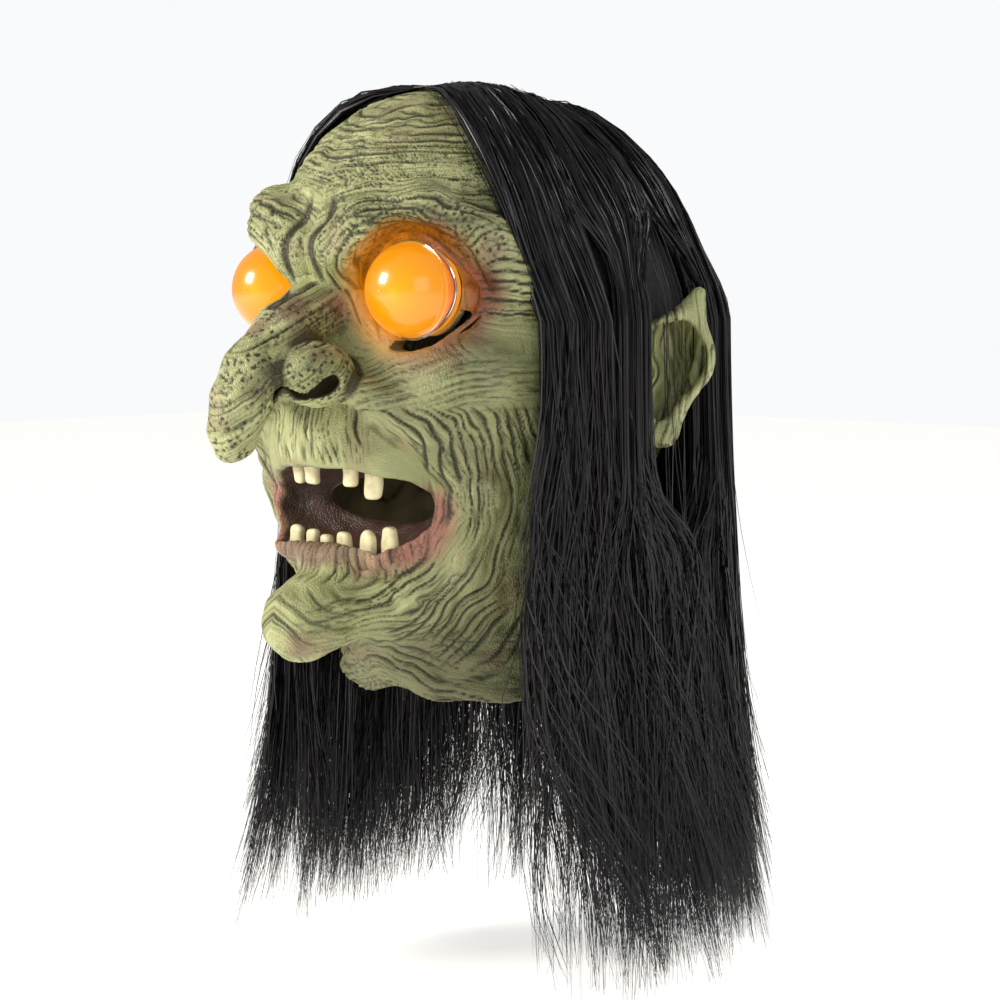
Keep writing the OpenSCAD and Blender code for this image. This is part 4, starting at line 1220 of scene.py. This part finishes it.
class MASK_OT_hair(bpy.types.Operator):
    """Lays the long fibre over the cap and down both sides and the back"""

    bl_idname = "mask.hair"
    bl_label = "Hair"

    def execute(self, context):
        sizes, colours = context.scene.mask_sizes, context.scene.mask_colours
        shades = [
            wig_fibre(name, colour, roughness)
            for name, colour, roughness in (
                ("fibre_black", colours.hair, 0.34),
                ("fibre_plum", linear("#150E14"), 0.3),
                ("fibre_brown", linear("#1A1310"), 0.36),
                # A few lighter grey strands: painted glints that stand in for silvery highlights along the hair.
                ("fibre_ash_painted_glint", linear("#2A2728"), 0.28),
            )
        ]
        count = sizes.strands
        for seed, (section, (first, last, nodes)) in enumerate(SECTIONS.items(), 100):
            path, rng = strand_paths(first, last, count, seed)
            points, quads = ribbons(path, sizes.strand / MM, rng)
            piece = put(f"hair_{section}", points, quads)
            for shade in shades:
                piece.data.materials.append(shade)
            worn = rng.choice(len(shades), count, p=(0.5, 0.22, 0.2, 0.08)).astype(np.int32)
            piece.data.polygons.foreach_set("material_index", np.repeat(worn, path.shape[1] - 1))
            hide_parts(*nodes)
        return {"FINISHED"}


# ---------------------------------------------------------------- stage


def area_lamp(name, place, target, size, power, colour):
    """A square soft light turned towards a point."""
    lamp = bpy.data.lights.new(name, "AREA")
    lamp.size, lamp.energy, lamp.color = size, power, linear(colour)[:3]
    holder = bpy.data.objects.new(name, lamp)
    holder.location = place
    holder.rotation_euler = (Vector(target) - Vector(place)).to_track_quat("-Z", "Y").to_euler()
    bpy.context.scene.collection.objects.link(holder)


class MASK_OT_stage(bpy.types.Operator):
    """Sets the camera, the pale floor and the soft lights"""

    bl_idname = "mask.stage"
    bl_label = "Stage"

    def execute(self, context):
        scene = context.scene
        aim = Vector((0.0034, 0.0032, 0.088))
        azimuth, elevation, distance = math.radians(43), math.radians(5), 1.2
        flat = math.cos(elevation)
        away = Vector((math.sin(azimuth) * flat, -math.cos(azimuth) * flat, math.sin(elevation)))
        lens = bpy.data.cameras.new("camera")
        lens.lens, lens.sensor_width = 92.9, 36
        camera = bpy.data.objects.new("camera", lens)
        camera.location = aim + away * distance
        camera.rotation_euler = (-away).to_track_quat("-Z", "Y").to_euler()
        scene.collection.objects.link(camera)
        scene.camera = camera

        floor_z = CAD_BOX[0][2] - 12 * MM
        # Matt white paper that also glows a little, so that it reads as the same white as the backdrop.
        material, _, shader = new_material("matt_paper_floor")
        paper = linear("#F3F2EF")
        connect(shader, {"Base Color": paper, "Emission Color": paper})
        connect(shader, {"Roughness": 0.9, "Emission Strength": 0.7})
        reach = 4.0
        corners = [(x * reach, y * reach, floor_z) for x, y in ((-1, -1), (1, -1), (1, 1), (-1, 1))]
        mesh = bpy.data.meshes.new("floor")
        mesh.from_pydata(corners, [], [(0, 1, 2, 3)])
        mesh.materials.append(material)
        floor = bpy.data.objects.new("floor", mesh)
        scene.collection.objects.link(floor)

        world = bpy.data.worlds.new("studio")
        world.use_nodes = True
        sky = world.node_tree.nodes["Background"]
        # The backdrop is bright where it is looked at, and lights the mask less than that.
        seen = add_node(world.node_tree, "LightPath", output="Is Camera Ray")
        strength = add_node(world.node_tree, "MapRange", {0: seen, 3: 0.42, 4: 1.03})
        connect(sky, {"Color": linear("#F6F7F8"), "Strength": strength})
        scene.world = world
        scene.view_settings.view_transform = "Standard"
        target = (0, 0, 0.12)
        area_lamp("key", (-0.95, -1.5, 0.85), target, 0.6, 36, "#FFFBF4")
        area_lamp("fill", (1.7, -0.8, 0.6), target, 1.1, 6.5, "#F6F8FF")
        area_lamp("rim", (0.9, 1.3, 1.2), target, 0.6, 7, "#FFFFFF")
        return {"FINISHED"}


# ---------------------------------------------------------------- add-on


class MASK_PT_panel(bpy.types.Panel):
    """The mask's operators and settings"""

    bl_label = "Witch Mask"
    bl_space_type = "VIEW_3D"
    bl_region_type = "UI"
    bl_category = "Witch Mask"

    def draw(self, context):
        for group in (context.scene.mask_sizes, context.scene.mask_colours):
            for name in group.__annotations__:
                self.layout.prop(group, name)
        for operator in OPERATORS:
            self.layout.operator(operator.bl_idname)


OPERATORS = (
    MASK_OT_stage,
    MASK_OT_casting,
    MASK_OT_ears,
    MASK_OT_teeth,
    MASK_OT_eyes,
    MASK_OT_fittings,
    MASK_OT_cap,
    MASK_OT_hair,
)
CLASSES = (MASK_PG_sizes, MASK_PG_colours, *OPERATORS, MASK_PT_panel)


def register():
    """Registers the classes and the settings."""
    for cls in CLASSES:
        bpy.utils.register_class(cls)
    bpy.types.Scene.mask_sizes = PointerProperty(type=MASK_PG_sizes)
    bpy.types.Scene.mask_colours = PointerProperty(type=MASK_PG_colours)


def unregister():
    """Takes the settings and the classes away."""
    del bpy.types.Scene.mask_colours
    del bpy.types.Scene.mask_sizes
    for cls in reversed(CLASSES):
        bpy.utils.unregister_class(cls)


def main():
    """Builds every piece in order."""
    register()
    for operator in OPERATORS:
        area, name = operator.bl_idname.split(".")
        getattr(getattr(bpy.ops, area), name)()


if __name__ == "__main__":
    main()
